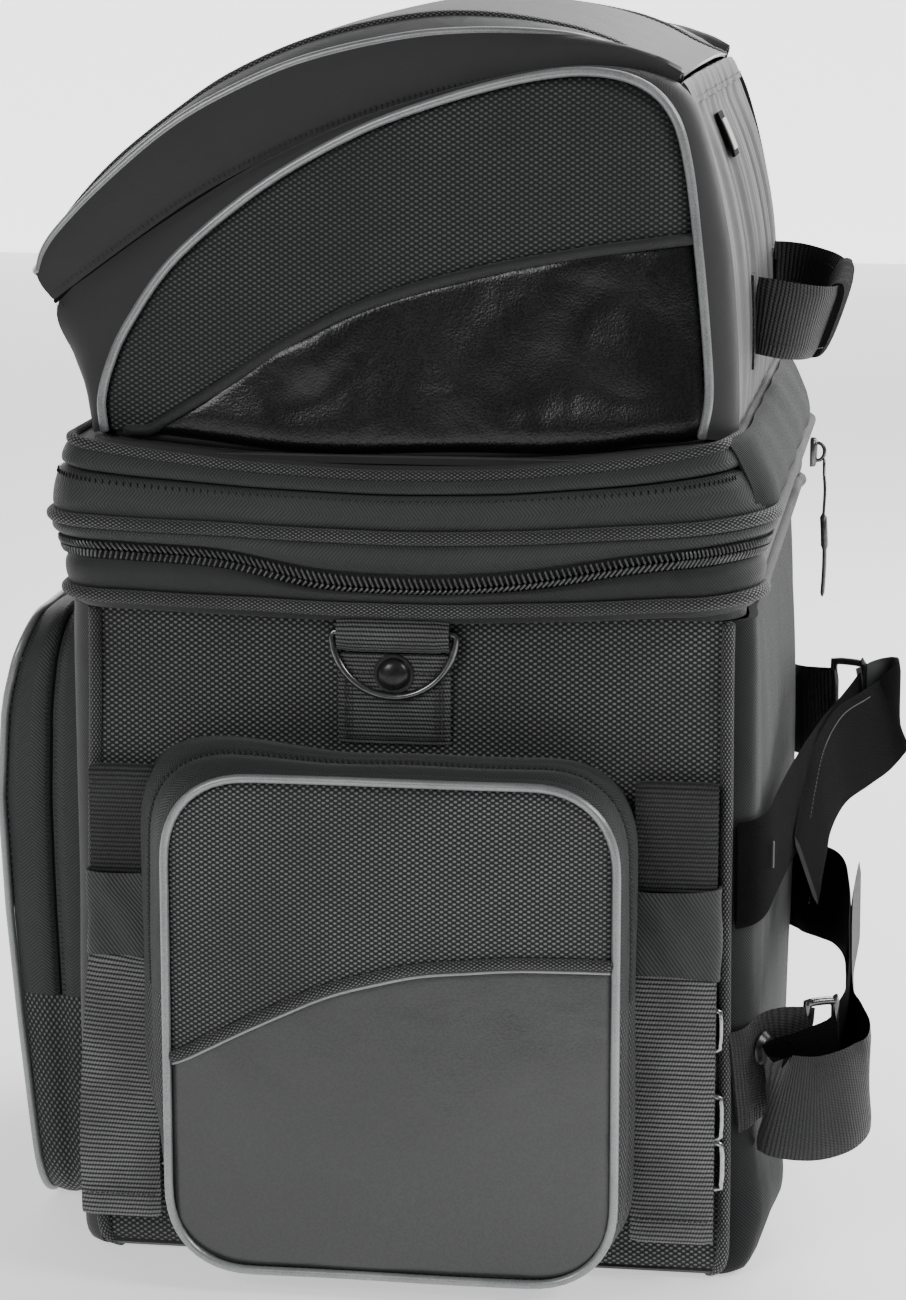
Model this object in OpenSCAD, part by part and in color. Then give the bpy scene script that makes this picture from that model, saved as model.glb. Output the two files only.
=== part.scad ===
// Two-tier touring tail bag: an expandable lower case with side and rear
// pockets, a hinged lid that carries a smaller top bag, and webbing straps.
// Origin: centre of the underside. +X points to the backrest, +Z is up.

/* [Lower case] */
// Length of the case from rear to front
case_l = 312; // [300:1:324]
// Width of the case from side to side
case_w = 352; // [344:1:364]
// Height of the case wall up to the first band
case_h = 306; // [300:1:312]
// Thickness of the padded walls
wall = 5; // [4:0.5:6]
// Radius of the upright corners
case_r = 14; // [12:1:16]

/* [Bands and lid] */
// How far the bands stand out past the case at front and rear
band_x = 8; // [7:0.5:9]
// How far the bands stand out past the case at the sides
band_y = 12; // [11:0.5:13]
// Corner radius of the bands
band_r = 24; // [22:1:28]
// How far the expansion gusset reaches down inside the case
skirt_drop = 91; // [80:1:100]

/* [Pockets] */
// Depth of the side pockets
side_pocket_d = 50; // [44:1:56]
// Height at which a side pocket's front folds
side_fold_z = 135; // [125:1:145]
// Depth of the rear pocket
rear_pocket_d = 50; // [44:1:54]
// Height at which the rear pocket's front folds
rear_fold_z = 101; // [90:1:110]
// Thickness of the pocket walls
pocket_wall = 4; // [3:0.5:5]

/* [Top bag] */
// Half of the width over the top bag's side panels
top_half_w = 163; // [158:1:166]
// Thickness of the top bag's side panels
top_wall = 6; // [4:0.5:7]
// How far the carry handle stands out
handle_out = 48; // [40:1:52]

/* [Straps and hardware] */
// Width of the tie-down webbing
tie_w = 38; // [36:1:38]
// Width of the hook-and-loop straps
bar_strap_w = 50; // [44:1:52]
// Thickness of the hook-and-loop straps
bar_strap_t = 2.4; // [2:0.1:2.8]
// Diameter of the ring wire
ring_wire = 3.5; // [3:0.1:3.8]
// Inside radius of the D-rings
dring_r = 26.5; // [24:0.5:27]

/* [Hidden] */
$fn = 48;

hx = case_l / 2;
hy = case_w / 2;
bl = case_l + 2 * band_x;
bw = case_w + 2 * band_y;
cloth = [0.16, 0.16, 0.17];
twill = [0.2, 0.2, 0.21];
hide = [0.1, 0.1, 0.11];
silver = [0.72, 0.73, 0.74];
metal = [0.35, 0.35, 0.37];
web = [0.13, 0.13, 0.14];

// ---------- shared shapes ----------
module rrect(x0, x1, y0, y1, r) {
    translate([x0 + r, y0]) square([x1 - x0 - 2 * r, y1 - y0]);
    translate([x0, y0 + r]) square([x1 - x0, y1 - y0 - 2 * r]);
    for (x = [x0 + r, x1 - r], y = [y0 + r, y1 - r]) translate([x, y]) circle(r);
}
module slab(l, w, r, z0, z1)
    translate([0, 0, z0]) linear_extrude(z1 - z0) rrect(-l / 2, l / 2, -w / 2, w / 2, r);
// A band that runs all round: outer size, inner size, height
module band(lo, wo, ro, li, wi, ri, z0, z1)
    difference() {
        slab(lo, wo, ro, z0, z1);
        slab(li, wi, ri, z0 - 1, z1 + 1);
    }
module upright(x, y, z) translate([x, y, z]) children();
// An upright ribbon along a plan line, t thick, standing from z0 to z1
function unit2(v) = v / norm(v);
function side_of(p, i) =
    let (n = len(p), a = i == 0 ? p[1] - p[0] : (i == n - 1 ? p[i] - p[i - 1] : unit2(p[i + 1] - p[i]) + unit2(p[i] - p[i - 1])),
         u = unit2(a)) [u[1], -u[0]];
function ribbon_pts(p, t) = concat([for (i = [0 : len(p) - 1]) p[i] + side_of(p, i) * t / 2],
                                   [for (i = [len(p) - 1 : -1 : 0]) p[i] - side_of(p, i) * t / 2]);
module ribbon(p, t, z0, z1) translate([0, 0, z0]) linear_extrude(z1 - z0) polygon(ribbon_pts(p, t));
// A profile in X and Z, standing from y0 to y1
module profile(p, y0, y1) translate([0, y1, 0]) rotate([90, 0, 0]) linear_extrude(y1 - y0) polygon(p);
// Box from one corner to the other
module span(a, b) translate(a) cube(b - a);

// ---------- lower case ----------
module base_panel() color(twill) slab(case_l, case_w, case_r, 0, 5);
module base_board() color([0.3, 0.3, 0.3]) slab(case_l - 2 * wall - 2, case_w - 2 * wall - 2, 9, 5, 8);
module side_panel() color(cloth) span([-143, -hy, 5], [143, -hy + wall, case_h]);
module side_panel_right() side_panel();
module side_panel_left() mirror([0, 1, 0]) side_panel();
module end_panel() color(twill)
    intersection() {
        band(case_l, case_w, case_r, case_l - 2 * wall, case_w - 2 * wall, case_r - wall, 5, case_h);
        span([149, -hy - 5, 0], [hx + 5, hy + 5, case_h + 1]);
    }
module front_panel() end_panel();
module rear_panel() mirror([1, 0, 0]) end_panel();
module body_piping() color(cloth) {
    for (x = [-146, 146], y = [-hy + 1, hy - 1]) translate([x, y, 6]) cylinder(h = case_h - 6, r = 2.9);
    band(bl + 6, bw + 6, band_r + 3, bl, bw, band_r, case_h + 3, case_h + 8);
}
module lower_band() color(twill) band(bl, bw, band_r, case_l - 2 * wall, case_w - 2 * wall, 9, case_h, 327);
module expansion_zip_lower() color(metal) band(bl + 4, bw + 4, band_r + 2, bl - 6, bw - 6, band_r - 3, 327, 331.6);

// ---------- pockets: built facing -Y with the case face at y = 0 ----------
module pocket_out(x0, x1, z0, z1, r, in) rrect(x0 + in, x1 - in, z0 + in, z1 - in, r - in);
module pocket_solid(o, in, y0, y1) translate([0, y1, 0]) rotate([90, 0, 0]) linear_extrude(y1 - y0) pocket_out(o[0], o[1], o[2], o[3], o[4], in);
module pocket_lower(o, d, fold) color(cloth)
    difference() {
        pocket_solid(o, 0, -d, 0);
        pocket_solid(o, pocket_wall, -d + pocket_wall, 1);
        span([o[0] - 1, -d - 1, fold - 1], [o[1] + 1, 2, o[3] + 1]);
    }
module pocket_gusset(o, d, fold) color(twill)
    difference() {
        pocket_solid(o, 0, -d / 2 + 1, 0);
        pocket_solid(o, pocket_wall, -d / 2, 1);
        span([o[0] - 1, -d - 1, o[2] - 1], [o[1] + 1, 2, fold + 1]);
    }
module pocket_flap(o, d, fold) color(cloth)
    difference() {
        union() {
            pocket_solid(o, 0, -d, -d / 2 + 0.6);
            difference() {
                pocket_solid(o, 0, -d - 3, -d);
                pocket_solid(o, 5, -d - 4, -d + 0.5);
            }
        }
        pocket_solid(o, pocket_wall, -d + pocket_wall, 1);
        span([o[0] - 1, -d - 5, o[2] - 1], [o[1] + 1, 2, fold + 1]);
        span([o[0] - 1, -d - 5, o[2] - 1], [o[1] + 1, -d, fold + 5]);
    }
module pocket_edge_lower(o, d, fold)
    difference() {
        pocket_solid(o, 0, -d - 3, -d);
        pocket_solid(o, 5, -d - 4, 0);
        span([o[0] - 1, -d - 5, fold - 1], [o[1] + 1, 2, o[3] + 1]);
    }
side_o = [-106, 102, 8, 246, 34];
rear_o = [-122, 122, 10, 290, 40];
module at_right() translate([0, -hy, 0]) children();
module at_left() mirror([0, 1, 0]) translate([0, -hy, 0]) children();
module at_rear() translate([-hx, 0, 0]) rotate([0, 0, -90]) children();
module side_pocket_lower_right() at_right() pocket_lower(side_o, side_pocket_d, side_fold_z);
module side_pocket_lower_left() at_left() pocket_lower(side_o, side_pocket_d, side_fold_z);
module side_pocket_gussets() {
    at_right() pocket_gusset(side_o, side_pocket_d, side_fold_z);
    at_left() pocket_gusset(side_o, side_pocket_d, side_fold_z);
}
module side_pocket_flap_right() at_right() pocket_flap(side_o, side_pocket_d, side_fold_z);
module side_pocket_flap_left() at_left() pocket_flap(side_o, side_pocket_d, side_fold_z);
module rear_pocket_lower() at_rear() pocket_lower(rear_o, rear_pocket_d, rear_fold_z);
module rear_pocket_gusset() at_rear() pocket_gusset(rear_o, rear_pocket_d, rear_fold_z);
module rear_pocket_flap() at_rear() pocket_flap(rear_o, rear_pocket_d, rear_fold_z);
module pocket_piping_lower() color(silver) {
    at_right() pocket_edge_lower(side_o, side_pocket_d, side_fold_z);
    at_left() pocket_edge_lower(side_o, side_pocket_d, side_fold_z);
    at_rear() pocket_edge_lower(rear_o, rear_pocket_d, rear_fold_z);
}

// ---------- D-rings ----------
dr_x = -5;
dr_y = -hy - 6;
dr_z = 298;
wr = ring_wire / 2;
module dring_tab() {
    span([dr_x - 26, -hy - 2, 250], [dr_x + 26, -hy, 305.5]);
    difference() {
        span([dr_x - 25.4, dr_y - 3, dr_z - 5], [dr_x + 25.4, -hy - 2, 305.5]);
        translate([dr_x - 27, dr_y, dr_z]) rotate([0, 90, 0]) cylinder(h = 54, r = wr + 0.06);
    }
}
module dring_tabs() color(web) { dring_tab(); mirror([0, 1, 0]) dring_tab(); }
module dring() color(metal) {
    rr = dring_r + wr;
    translate([dr_x - rr, dr_y, dr_z]) rotate([0, 90, 0]) cylinder(h = 2 * rr, r = wr);
    for (s = [-1, 1]) translate([dr_x + s * rr, dr_y, dr_z]) sphere(r = wr);
    translate([dr_x, dr_y, dr_z]) rotate([-90, 0, 0]) rotate_extrude(angle = 180) translate([rr, 0]) circle(wr);
}
module dring_right() dring();
module dring_left() mirror([0, 1, 0]) dring();
module rivet() {
    cylinder(h = 1.2, r = 8.5);
    translate([0, 0, 1.2]) cylinder(h = 1.4, r = 6.5);
    translate([0, 0, 2.6]) cylinder(h = 1, r = 4.5);
}
module rivets() color(metal) {
    for (m = [0, 1]) mirror([0, m, 0]) translate([dr_x, -hy - 2, 281]) rotate([90, 0, 0]) rivet();
    translate([hx + bar_strap_t, 155.5, 195]) rotate([0, 90, 0]) rivet();
    translate([hx + bar_strap_t, -155.5, 87]) rotate([0, 90, 0]) rivet();
}

// ---------- tie-down straps on the sides ----------
module tie_loop(x0) color(web) {
    a = max(x0, -142.8);
    b = min(x0 + tie_w, 142.8);
    span([a, -hy - 2, 147], [b, -hy, 235]);
    span([x0, -hy - 4, 187], [x0 + tie_w, -hy - 2, 235]);
    span([x0 - 2, -hy - 10, 147], [x0 + tie_w + 2, -hy - 2, 187]);
}
module tie_strap(x0, s) color(web) {
    span([x0, -hy - 11, 20], [x0 + tie_w, -hy - 6, 141]);
    translate([x0 + (s > 0 ? 4 : -3), -hy - 3, 46]) rotate([90, 0, 0])
        linear_extrude(3) difference() {
            rrect(0, 37, 0, 44, 6);
            rrect(5, 32, 5, 12, 2);
            rrect(5, 32, 18, 39, 2);
        }
}
tie_xf = 105;
tie_xr = -147;
module tie_strap_loops() { for (m = [0, 1]) mirror([0, m, 0]) { tie_loop(tie_xf); tie_loop(tie_xr); } }
module tie_strap_right_front() tie_strap(tie_xf, 1);
module tie_strap_right_rear() tie_strap(tie_xr, -1);
module tie_strap_left_front() mirror([0, 1, 0]) tie_strap(tie_xf, 1);
module tie_strap_left_rear() mirror([0, 1, 0]) tie_strap(tie_xr, -1);

// ---------- hook-and-loop straps that wrap the backrest bar ----------
upper_z = 170;
lower_z = 62;
bt = bar_strap_t;
strap_line = [[hx + bt / 2, -160], [hx + bt / 2, -116], [162, -66], [170, -10], [178, 50], [184, 100], [187, 131]];
flap_line = [[198.6, 140], [213, 137], [212, 110], [204, 60], [193, 10], [183, -30], [175, -62]];
tab_line = [[hx + bt / 2, 165], [hx + bt / 2, 145], [168, 141], [178.5, 144.6]];
module strap_ring(z0) {
    a = [182, 146];
    b = [194, 140];
    for (p = [a, b]) translate([p[0], p[1], z0]) cylinder(h = bar_strap_w + 8, r = 2);
    for (p = [a, b], z = [z0, z0 + bar_strap_w + 8]) translate([p[0], p[1], z]) sphere(r = 2);
    for (z = [z0, z0 + bar_strap_w + 8]) translate([a[0], a[1], z]) rotate([0, 0, atan2(b[1] - a[1], b[0] - a[0])]) rotate([0, 90, 0]) cylinder(h = norm(b - a), r = 2);
}
module upper_strap_base() color(web) ribbon(strap_line, bt, upper_z, upper_z + bar_strap_w);
module lower_strap_base() color(web) mirror([0, 1, 0]) ribbon(strap_line, bt, lower_z, lower_z + bar_strap_w);
module strap_rings() color(metal) { strap_ring(upper_z - 4); mirror([0, 1, 0]) strap_ring(lower_z - 4); }
module strap_ring_tabs() color(web) {
    ribbon(tab_line, bt, upper_z, upper_z + bar_strap_w);
    mirror([0, 1, 0]) ribbon(tab_line, bt, lower_z, lower_z + bar_strap_w);
}
module upper_strap_flap() color(web) ribbon(flap_line, bt, upper_z, upper_z + bar_strap_w);
module lower_strap_flap() color(web) mirror([0, 1, 0]) ribbon(flap_line, bt, lower_z, lower_z + bar_strap_w);

// ---------- expansion section ----------
sk_l = case_l - 2 * wall - 1;
sk_w = case_w - 2 * wall - 1;
module expansion_band() color(twill) band(bl, bw, band_r, sk_l, sk_w, 8.5, 336.8, 361);
module mid_piping() color(cloth) band(bl + 6, bw + 6, band_r + 3, bl, bw, band_r, 346, 351);
module expansion_gusset() color(cloth) band(sk_l, sk_w, 8.5, sk_l - 3, sk_w - 3, 7, 361 - skirt_drop, 361);
module expansion_zip_upper() color(metal) band(bl + 4, bw + 4, band_r + 2, bl - 6, bw - 6, band_r - 3, 332.2, 336.8);
// Slider with two ears and a pin, facing +X; the pull hangs from the pin
module slider_body(w, h) {
    span([0, -w / 2, -h / 2], [4.5, w / 2, h / 2]);
    for (y = [-w / 2, w / 2 - 1.6]) span([4.5, y, -2], [8.6, y + 1.6, 2]);
    translate([7, -w / 2, 0]) rotate([-90, 0, 0]) cylinder(h = w, r = 1);
}
module pull_tab(w, l) {
    difference() {
        union() {
            translate([0, -w / 2, 0]) rotate([-90, 0, 0]) cylinder(h = w, r = 2.4);
            span([-0.9, -w / 2, -l + 4], [0.9, w / 2, 0]);
            translate([-1.4, 0, -l + 10]) rotate([0, 90, 0]) cylinder(h = 2.8, r = w / 2 + 1.5);
        }
        translate([0, -w, 0]) rotate([-90, 0, 0]) cylinder(h = 2 * w, r = 1.06);
    }
}
ez_x = hx + band_x + 2.6;
ez_y = 120;
ez_z = 333;
module expansion_zip_slider() color(metal) translate([ez_x, ez_y, ez_z]) slider_body(10, 15);
module expansion_zip_pull() color(metal) translate([ez_x + 7, ez_y, ez_z]) pull_tab(6, 62);

// ---------- main lid ----------
ll = bl - 4;
lw = bw - 4;
module lid_band() color(twill) band(ll, lw, band_r - 2, sk_l, sk_w, 8.5, 363, 380);
module lid_panel() color(cloth) slab(ll, lw, band_r - 2, 380, 385);
module lid_stiffener() color([0.3, 0.3, 0.3]) slab(sk_l - 1, sk_w - 1, 8, 377, 380);
module top_piping() color(cloth) band(ll + 4, lw + 4, band_r, ll, lw, band_r - 2, 379, 384);
module lid_hook_strips() color(web) for (y = [-140, 90]) span([-110, y, 385], [110, y + 50, 386.2]);
module at_zip_rear(y) translate([-ll / 2, y, 368]) mirror([1, 0, 0]) children();
module main_zip_sliders() color(metal) for (y = [-14, 14]) at_zip_rear(y) slider_body(10, 8);
module main_zip_pulls() color(metal) for (y = [-14, 14]) at_zip_rear(y) translate([7, 0, 0]) pull_tab(6, 40);

// ---------- top bag ----------
tz = 388;
ty = top_half_w - top_wall;
// Side wall below the curved zip line
side_wall = [[-144, tz], [138, tz], [138, 460], [135, 480], [129, 513], [119, 541], [106, 545], [66, 547], [17, 539], [-28, 525],
             [-74, 505], [-121, 477], [-162, 446], [-156, 424], [-147, 405]];
// Outline of the trimmed side panel
side_trim = [[-142, 390], [134, 390], [134, 430], [131, 474], [125, 513], [114, 534], [100, 543], [78, 545], [49, 542], [9, 532],
             [-27, 518], [-68, 496], [-105, 466], [-131, 430], [-142, 405]];
front_wall = [[138, tz + 4], [143, tz + 4], [143, 460], [140, 480], [134, 515], [124, 542], [119, 542], [129, 513], [135, 480], [138, 460]];
rear_wall = [[-144, tz + 4], [-147, 405], [-156, 424], [-163, 445], [-158, 446.5], [-150, 424], [-142, 405], [-139, tz + 4]];
// Outer curve of the lid from its rear lip to the front edge, and the zip line below it
lid_out = [[-176, 456], [-166, 474], [-147, 497], [-116, 523], [-86, 542], [-50, 558], [-10, 568], [30, 572], [66, 570], [92, 563], [108, 555], [118, 547.5]];
lid_in = [[114, 545], [104, 550], [90, 557], [65, 564], [30, 566], [-9, 562], [-48, 552], [-83, 537], [-112, 518], [-143, 493], [-160, 472], [-166, 458], [-160, 450], [-170, 448]];
zip_line = [[114, 545], [106, 546.5], [66, 548.5], [17, 540.5], [-28, 526.5], [-74, 506.5], [-121, 478.5], [-163, 447.5], [-170, 448]];
module top_bag_base() color(twill) span([-139, -ty, tz], [138, ty, tz + 4]);
module top_bag_side() color(cloth) profile(side_wall, -top_half_w, -ty);
module top_bag_side_right() top_bag_side();
module top_bag_side_left() mirror([0, 1, 0]) top_bag_side();
module top_bag_rear_wall() color(twill) profile(rear_wall, -ty, ty);
module top_bag_front_panel() color(twill) profile(front_wall, -ty, ty);
module trim_ring() difference() {
    profile(side_trim, -top_half_w - 3, -top_half_w);
    translate([0, 0, 456]) scale(0.96) translate([0, 0, -456]) profile(side_trim, -top_half_w - 20, -top_half_w + 20);
}
module top_bag_piping() color(silver) { trim_ring(); mirror([0, 1, 0]) trim_ring(); }
module top_bag_loop_strips() color(web) for (y = [-140, 90]) span([-110, y, tz - 1.2], [110, y + 50, tz]);

// ---------- carry handle ----------
hz = 434;
hh = 16;
hpx = 147.5;
module handle_anchors() color(web) for (s = [-1, 1]) {
    span([143, s * 73 - 13, hz - 20], [144.5, s * 73 + 13, hz + 20]);
    span([144.5, s * 73 - 11, hz - 2], [hpx, s * 73 + 11, hz + 2]);
    translate([hpx, s * 73 - 11, hz]) rotate([-90, 0, 0]) cylinder(h = 22, r = 2);
}
ho = hpx - 4.5 + handle_out;
handle_line = [[150.2, 73], [160, 73], [172, 68], [181, 58], [ho - 4, 46]];
module handle_strap() color(web) for (m = [0, 1]) mirror([0, m, 0]) ribbon(handle_line, 2.6, hz - hh, hz + hh);
module handle_grip() color(web) translate([ho - 4, 45.1, hz]) rotate([90, 0, 0]) linear_extrude(90.2) rrect(-5.5, 5.5, -hh - 1, hh + 1, 4);

// ---------- top lid ----------
module top_lid_shell() color(hide) profile(concat(lid_out, lid_in), -ty, ty);
module top_lid_gusset() profile(concat(lid_out, zip_line), -top_half_w, -ty);
module top_lid_gussets() color(twill) { top_lid_gusset(); mirror([0, 1, 0]) top_lid_gusset(); }
module lid_edge() profile(concat(lid_out, [for (i = [len(lid_out) - 1 : -1 : 0]) lid_out[i] + [-1.5, 3]]), -ty - 4, -ty);
module top_lid_piping() color(silver) { lid_edge(); mirror([0, 1, 0]) lid_edge(); }
module top_zip_pull() color(metal) translate([-180, 0, 455]) pull_tab(6, 38);

base_panel();
base_board();
side_panel_right();
side_panel_left();
front_panel();
rear_panel();
body_piping();
lower_band();
expansion_zip_lower();
side_pocket_lower_right();
side_pocket_lower_left();
side_pocket_gussets();
rear_pocket_lower();
rear_pocket_gusset();
pocket_piping_lower();
dring_tabs();
rivets();
tie_strap_loops();
upper_strap_base();
lower_strap_base();
strap_rings();
strap_ring_tabs();
expansion_band();
mid_piping();
expansion_gusset();
expansion_zip_upper();
expansion_zip_slider();
expansion_zip_pull();
lid_band();
lid_panel();
lid_stiffener();
top_piping();
lid_hook_strips();
main_zip_sliders();
main_zip_pulls();
top_bag_base();
top_bag_side_right();
top_bag_side_left();
top_bag_rear_wall();
top_bag_front_panel();
top_bag_piping();
top_bag_loop_strips();
handle_anchors();
handle_strap();
handle_grip();
top_lid_shell();
top_lid_gussets();
top_lid_piping();
top_zip_pull();
side_pocket_flap_right();
side_pocket_flap_left();
rear_pocket_flap();
dring_right();
dring_left();
tie_strap_right_front();
tie_strap_right_rear();
tie_strap_left_front();
tie_strap_left_rear();
upper_strap_flap();
lower_strap_flap();
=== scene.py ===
import bpy, math
import numpy as np
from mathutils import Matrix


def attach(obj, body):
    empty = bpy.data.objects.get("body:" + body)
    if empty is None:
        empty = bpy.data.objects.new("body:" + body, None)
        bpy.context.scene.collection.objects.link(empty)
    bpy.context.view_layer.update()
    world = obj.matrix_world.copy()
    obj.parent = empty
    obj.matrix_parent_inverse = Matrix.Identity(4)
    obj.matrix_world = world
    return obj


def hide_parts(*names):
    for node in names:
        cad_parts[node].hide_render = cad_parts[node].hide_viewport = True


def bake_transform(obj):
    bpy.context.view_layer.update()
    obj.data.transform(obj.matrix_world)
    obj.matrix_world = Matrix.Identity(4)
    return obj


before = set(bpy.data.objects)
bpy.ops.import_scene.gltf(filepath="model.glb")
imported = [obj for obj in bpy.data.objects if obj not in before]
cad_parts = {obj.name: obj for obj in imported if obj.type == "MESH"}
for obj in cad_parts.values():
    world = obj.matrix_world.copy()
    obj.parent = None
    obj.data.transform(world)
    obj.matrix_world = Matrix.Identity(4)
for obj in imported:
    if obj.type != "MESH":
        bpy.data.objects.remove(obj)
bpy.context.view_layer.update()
SCENE = bpy.context.scene
rng = np.random.default_rng(7)

# ------------------------------------------------------------------ camera
cam_d = bpy.data.cameras.new("camera")
cam = bpy.data.objects.new("camera", cam_d)
SCENE.collection.objects.link(cam)
AZ, EL, DIST = math.radians(8.24), math.radians(11.27), 1.83236
back = np.array([math.sin(AZ) * math.cos(EL), -math.cos(AZ) * math.cos(EL), math.sin(EL)])
target = np.array([-0.00438, 0.0, 0.25822])
cam.location = target + back * DIST
cam.rotation_euler = (math.pi / 2 - EL, 0, AZ)
cam_d.sensor_width = 36
cam_d.lens = 101.16
cam_d.clip_end = 30
SCENE.camera = cam

# ------------------------------------------------------------------ node helpers
class NT:
    def __init__(s, name):
        s.mat = bpy.data.materials.new(name)
        s.mat.use_nodes = True
        s.t = s.mat.node_tree
        s.t.nodes.clear()
        s.out = s.t.nodes.new("ShaderNodeOutputMaterial")
        s.b = s.t.nodes.new("ShaderNodeBsdfPrincipled")
        s.t.links.new(s.b.outputs[0], s.out.inputs[0])
        s._uv = None
    def n(s, kind, **k):
        nd = s.t.nodes.new(kind)
        for a, v in k.items():
            setattr(nd, a, v)
        return nd
    def put(s, sock, v):
        if isinstance(v, bpy.types.NodeSocket):
            s.t.links.new(v, sock)
        else:
            sock.default_value = v
    def m(s, op, *a, clamp=False):
        nd = s.n("ShaderNodeMath", operation=op, use_clamp=clamp)
        for i, v in enumerate(a):
            s.put(nd.inputs[i], v)
        return nd.outputs[0]
    def uv(s):
        if s._uv is None:
            u = s.n("ShaderNodeUVMap", uv_map="weave")
            sep = s.n("ShaderNodeSeparateXYZ")
            s.t.links.new(u.outputs[0], sep.inputs[0])
            s._uv = (sep.outputs[0], sep.outputs[1], u.outputs[0])
        return s._uv
    def pos(s):
        c = s.n("ShaderNodeTexCoord")
        return c.outputs["Object"]
    def noise(s, scale, vec=None, detail=3.0, rough=0.55, dist=0.0):
        nd = s.n("ShaderNodeTexNoise")
        nd.inputs["Scale"].default_value = scale
        nd.inputs["Detail"].default_value = detail
        nd.inputs["Roughness"].default_value = rough
        nd.inputs["Distortion"].default_value = dist
        s.t.links.new(vec if vec is not None else s.pos(), nd.inputs["Vector"])
        return nd.outputs[0]
    def ramp(s, v, lo, hi, a=0.0, b=1.0):
        nd = s.n("ShaderNodeMapRange", clamp=True, interpolation_type="SMOOTHSTEP")
        s.put(nd.inputs[0], v)
        for i, x in zip((1, 2, 3, 4), (lo, hi, a, b)):
            s.put(nd.inputs[i], x)
        return nd.outputs[0]
    def mix(s, f, a, b):
        nd = s.n("ShaderNodeMix", data_type="RGBA")
        s.put(nd.inputs[0], f)
        s.put(nd.inputs[6], a if isinstance(a, bpy.types.NodeSocket) else (*a, 1))
        s.put(nd.inputs[7], b if isinstance(b, bpy.types.NodeSocket) else (*b, 1))
        return nd.outputs[2]
    def bump(s, h, dist, strength=1.0, normal=None):
        nd = s.n("ShaderNodeBump")
        nd.inputs["Strength"].default_value = strength
        nd.inputs["Distance"].default_value = dist
        s.put(nd.inputs["Height"], h)
        if normal is not None:
            s.t.links.new(normal, nd.inputs["Normal"])
        return nd.outputs[0]
    def done(s, color, rough, normal=None, **k):
        s.put(s.b.inputs["Base Color"], color if isinstance(color, bpy.types.NodeSocket) else (*color, 1))
        s.put(s.b.inputs["Roughness"], rough)
        if normal is not None:
            s.t.links.new(normal, s.b.inputs["Normal"])
        for a, v in k.items():
            s.b.inputs[a.replace("_", " ")].default_value = v
        return s.mat

TAU = 2 * math.pi

def mat_ballistic(name, dark, light, pu=3.3, pv=1.65, rough=(0.5, 0.8)):
    t = NT(name)
    u, v, vec = t.uv()
    wob = t.noise(90, vec, 2)
    cu = t.m("COSINE", t.m("ADD", t.m("MULTIPLY", u, TAU / (pu * .001)), t.m("MULTIPLY", wob, 1.2)))
    cv = t.m("COSINE", t.m("ADD", t.m("MULTIPLY", v, math.pi / (pv * .001)), t.m("MULTIPLY", wob, 0.8)))
    h = t.m("ADD", t.m("MULTIPLY", t.m("MULTIPLY", cu, cv), 0.5), 0.5)
    fib = t.noise(2600, vec, 2)
    big = t.noise(14, None, 3)
    k = t.ramp(h, 0.42, 0.98)
    k = t.m("MULTIPLY", k, t.ramp(fib, 0.25, 0.75, 0.55, 1.15))
    k = t.m("MULTIPLY", k, t.ramp(big, 0.3, 0.7, 0.7, 1.1), clamp=True)
    col = t.mix(k, dark, light)
    hh = t.m("ADD", h, t.m("MULTIPLY", fib, 0.25))
    soft = t.bump(t.noise(26, None, 3), 0.004, 0.35)
    nrm = t.bump(hh, 0.0006, 0.8, soft)
    r = t.ramp(k, 0, 1, rough[1], rough[0])
    return t.done(col, r, nrm, Specular_IOR_Level=0.42, Sheen_Weight=0.08, Sheen_Roughness=0.5)

def mat_twill(name, dark, light, pitch=1.35, rough=0.62, amp=0.5, herring=0.0, spec=0.4):
    t = NT(name)
    u, v, vec = t.uv()
    if herring:
        vv = t.m("PINGPONG", v, herring * .001)
    else:
        vv = v
    ph = t.m("ADD", t.m("MULTIPLY", u, TAU / (pitch * .001)), t.m("MULTIPLY", vv, TAU / (pitch * 1.25 * .001)))
    h = t.m("ADD", t.m("MULTIPLY", t.m("SINE", ph), 0.5), 0.5)
    fib = t.noise(2200, vec, 2)
    big = t.noise(11, None, 3)
    k = t.m("MULTIPLY", t.m("ADD", t.m("MULTIPLY", h, 0.75), t.m("MULTIPLY", fib, 0.35)), t.ramp(big, 0.3, 0.7, 0.75, 1.1), clamp=True)
    col = t.mix(k, dark, light)
    soft = t.bump(t.noise(22, None, 3), 0.005, 0.35)
    nrm = t.bump(t.m("ADD", h, t.m("MULTIPLY", fib, 0.3)), 0.0003, amp, soft)
    return t.done(col, rough, nrm, Specular_IOR_Level=spec, Sheen_Weight=0.1, Sheen_Roughness=0.45)

def mat_leather(name, dark, light, rough=0.38, wrinkle=0.5, coat=0.15, grain=900):
    t = NT(name)
    p = t.pos()
    vor = t.n("ShaderNodeTexVoronoi", feature="F1")
    vor.inputs["Scale"].default_value = grain
    t.t.links.new(p, vor.inputs["Vector"])
    fine = t.noise(grain * 1.6, p, 3)
    g = t.m("ADD", t.m("MULTIPLY", vor.outputs["Distance"], 0.8), t.m("MULTIPLY", fine, 0.5))
    wr = t.noise(17, p, 3, 0.5, 0.3)
    wr2 = t.noise(48, p, 2, 0.5, 0.3)
    big = t.noise(7, p, 2)
    k = t.m("MULTIPLY", t.ramp(g, 0.2, 0.9), t.ramp(big, 0.3, 0.7, 0.7, 1.0))
    col = t.mix(k, dark, light)
    n1 = t.bump(wr, 0.009, wrinkle)
    n2 = t.bump(wr2, 0.0016, wrinkle * 0.5, n1)
    n3 = t.bump(g, 0.00022, 0.55, n2)
    r = t.ramp(g, 0.1, 0.9, rough - 0.05, rough + 0.1)
    return t.done(col, r, n3, Specular_IOR_Level=0.5, Coat_Weight=coat, Coat_Roughness=0.25)

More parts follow.
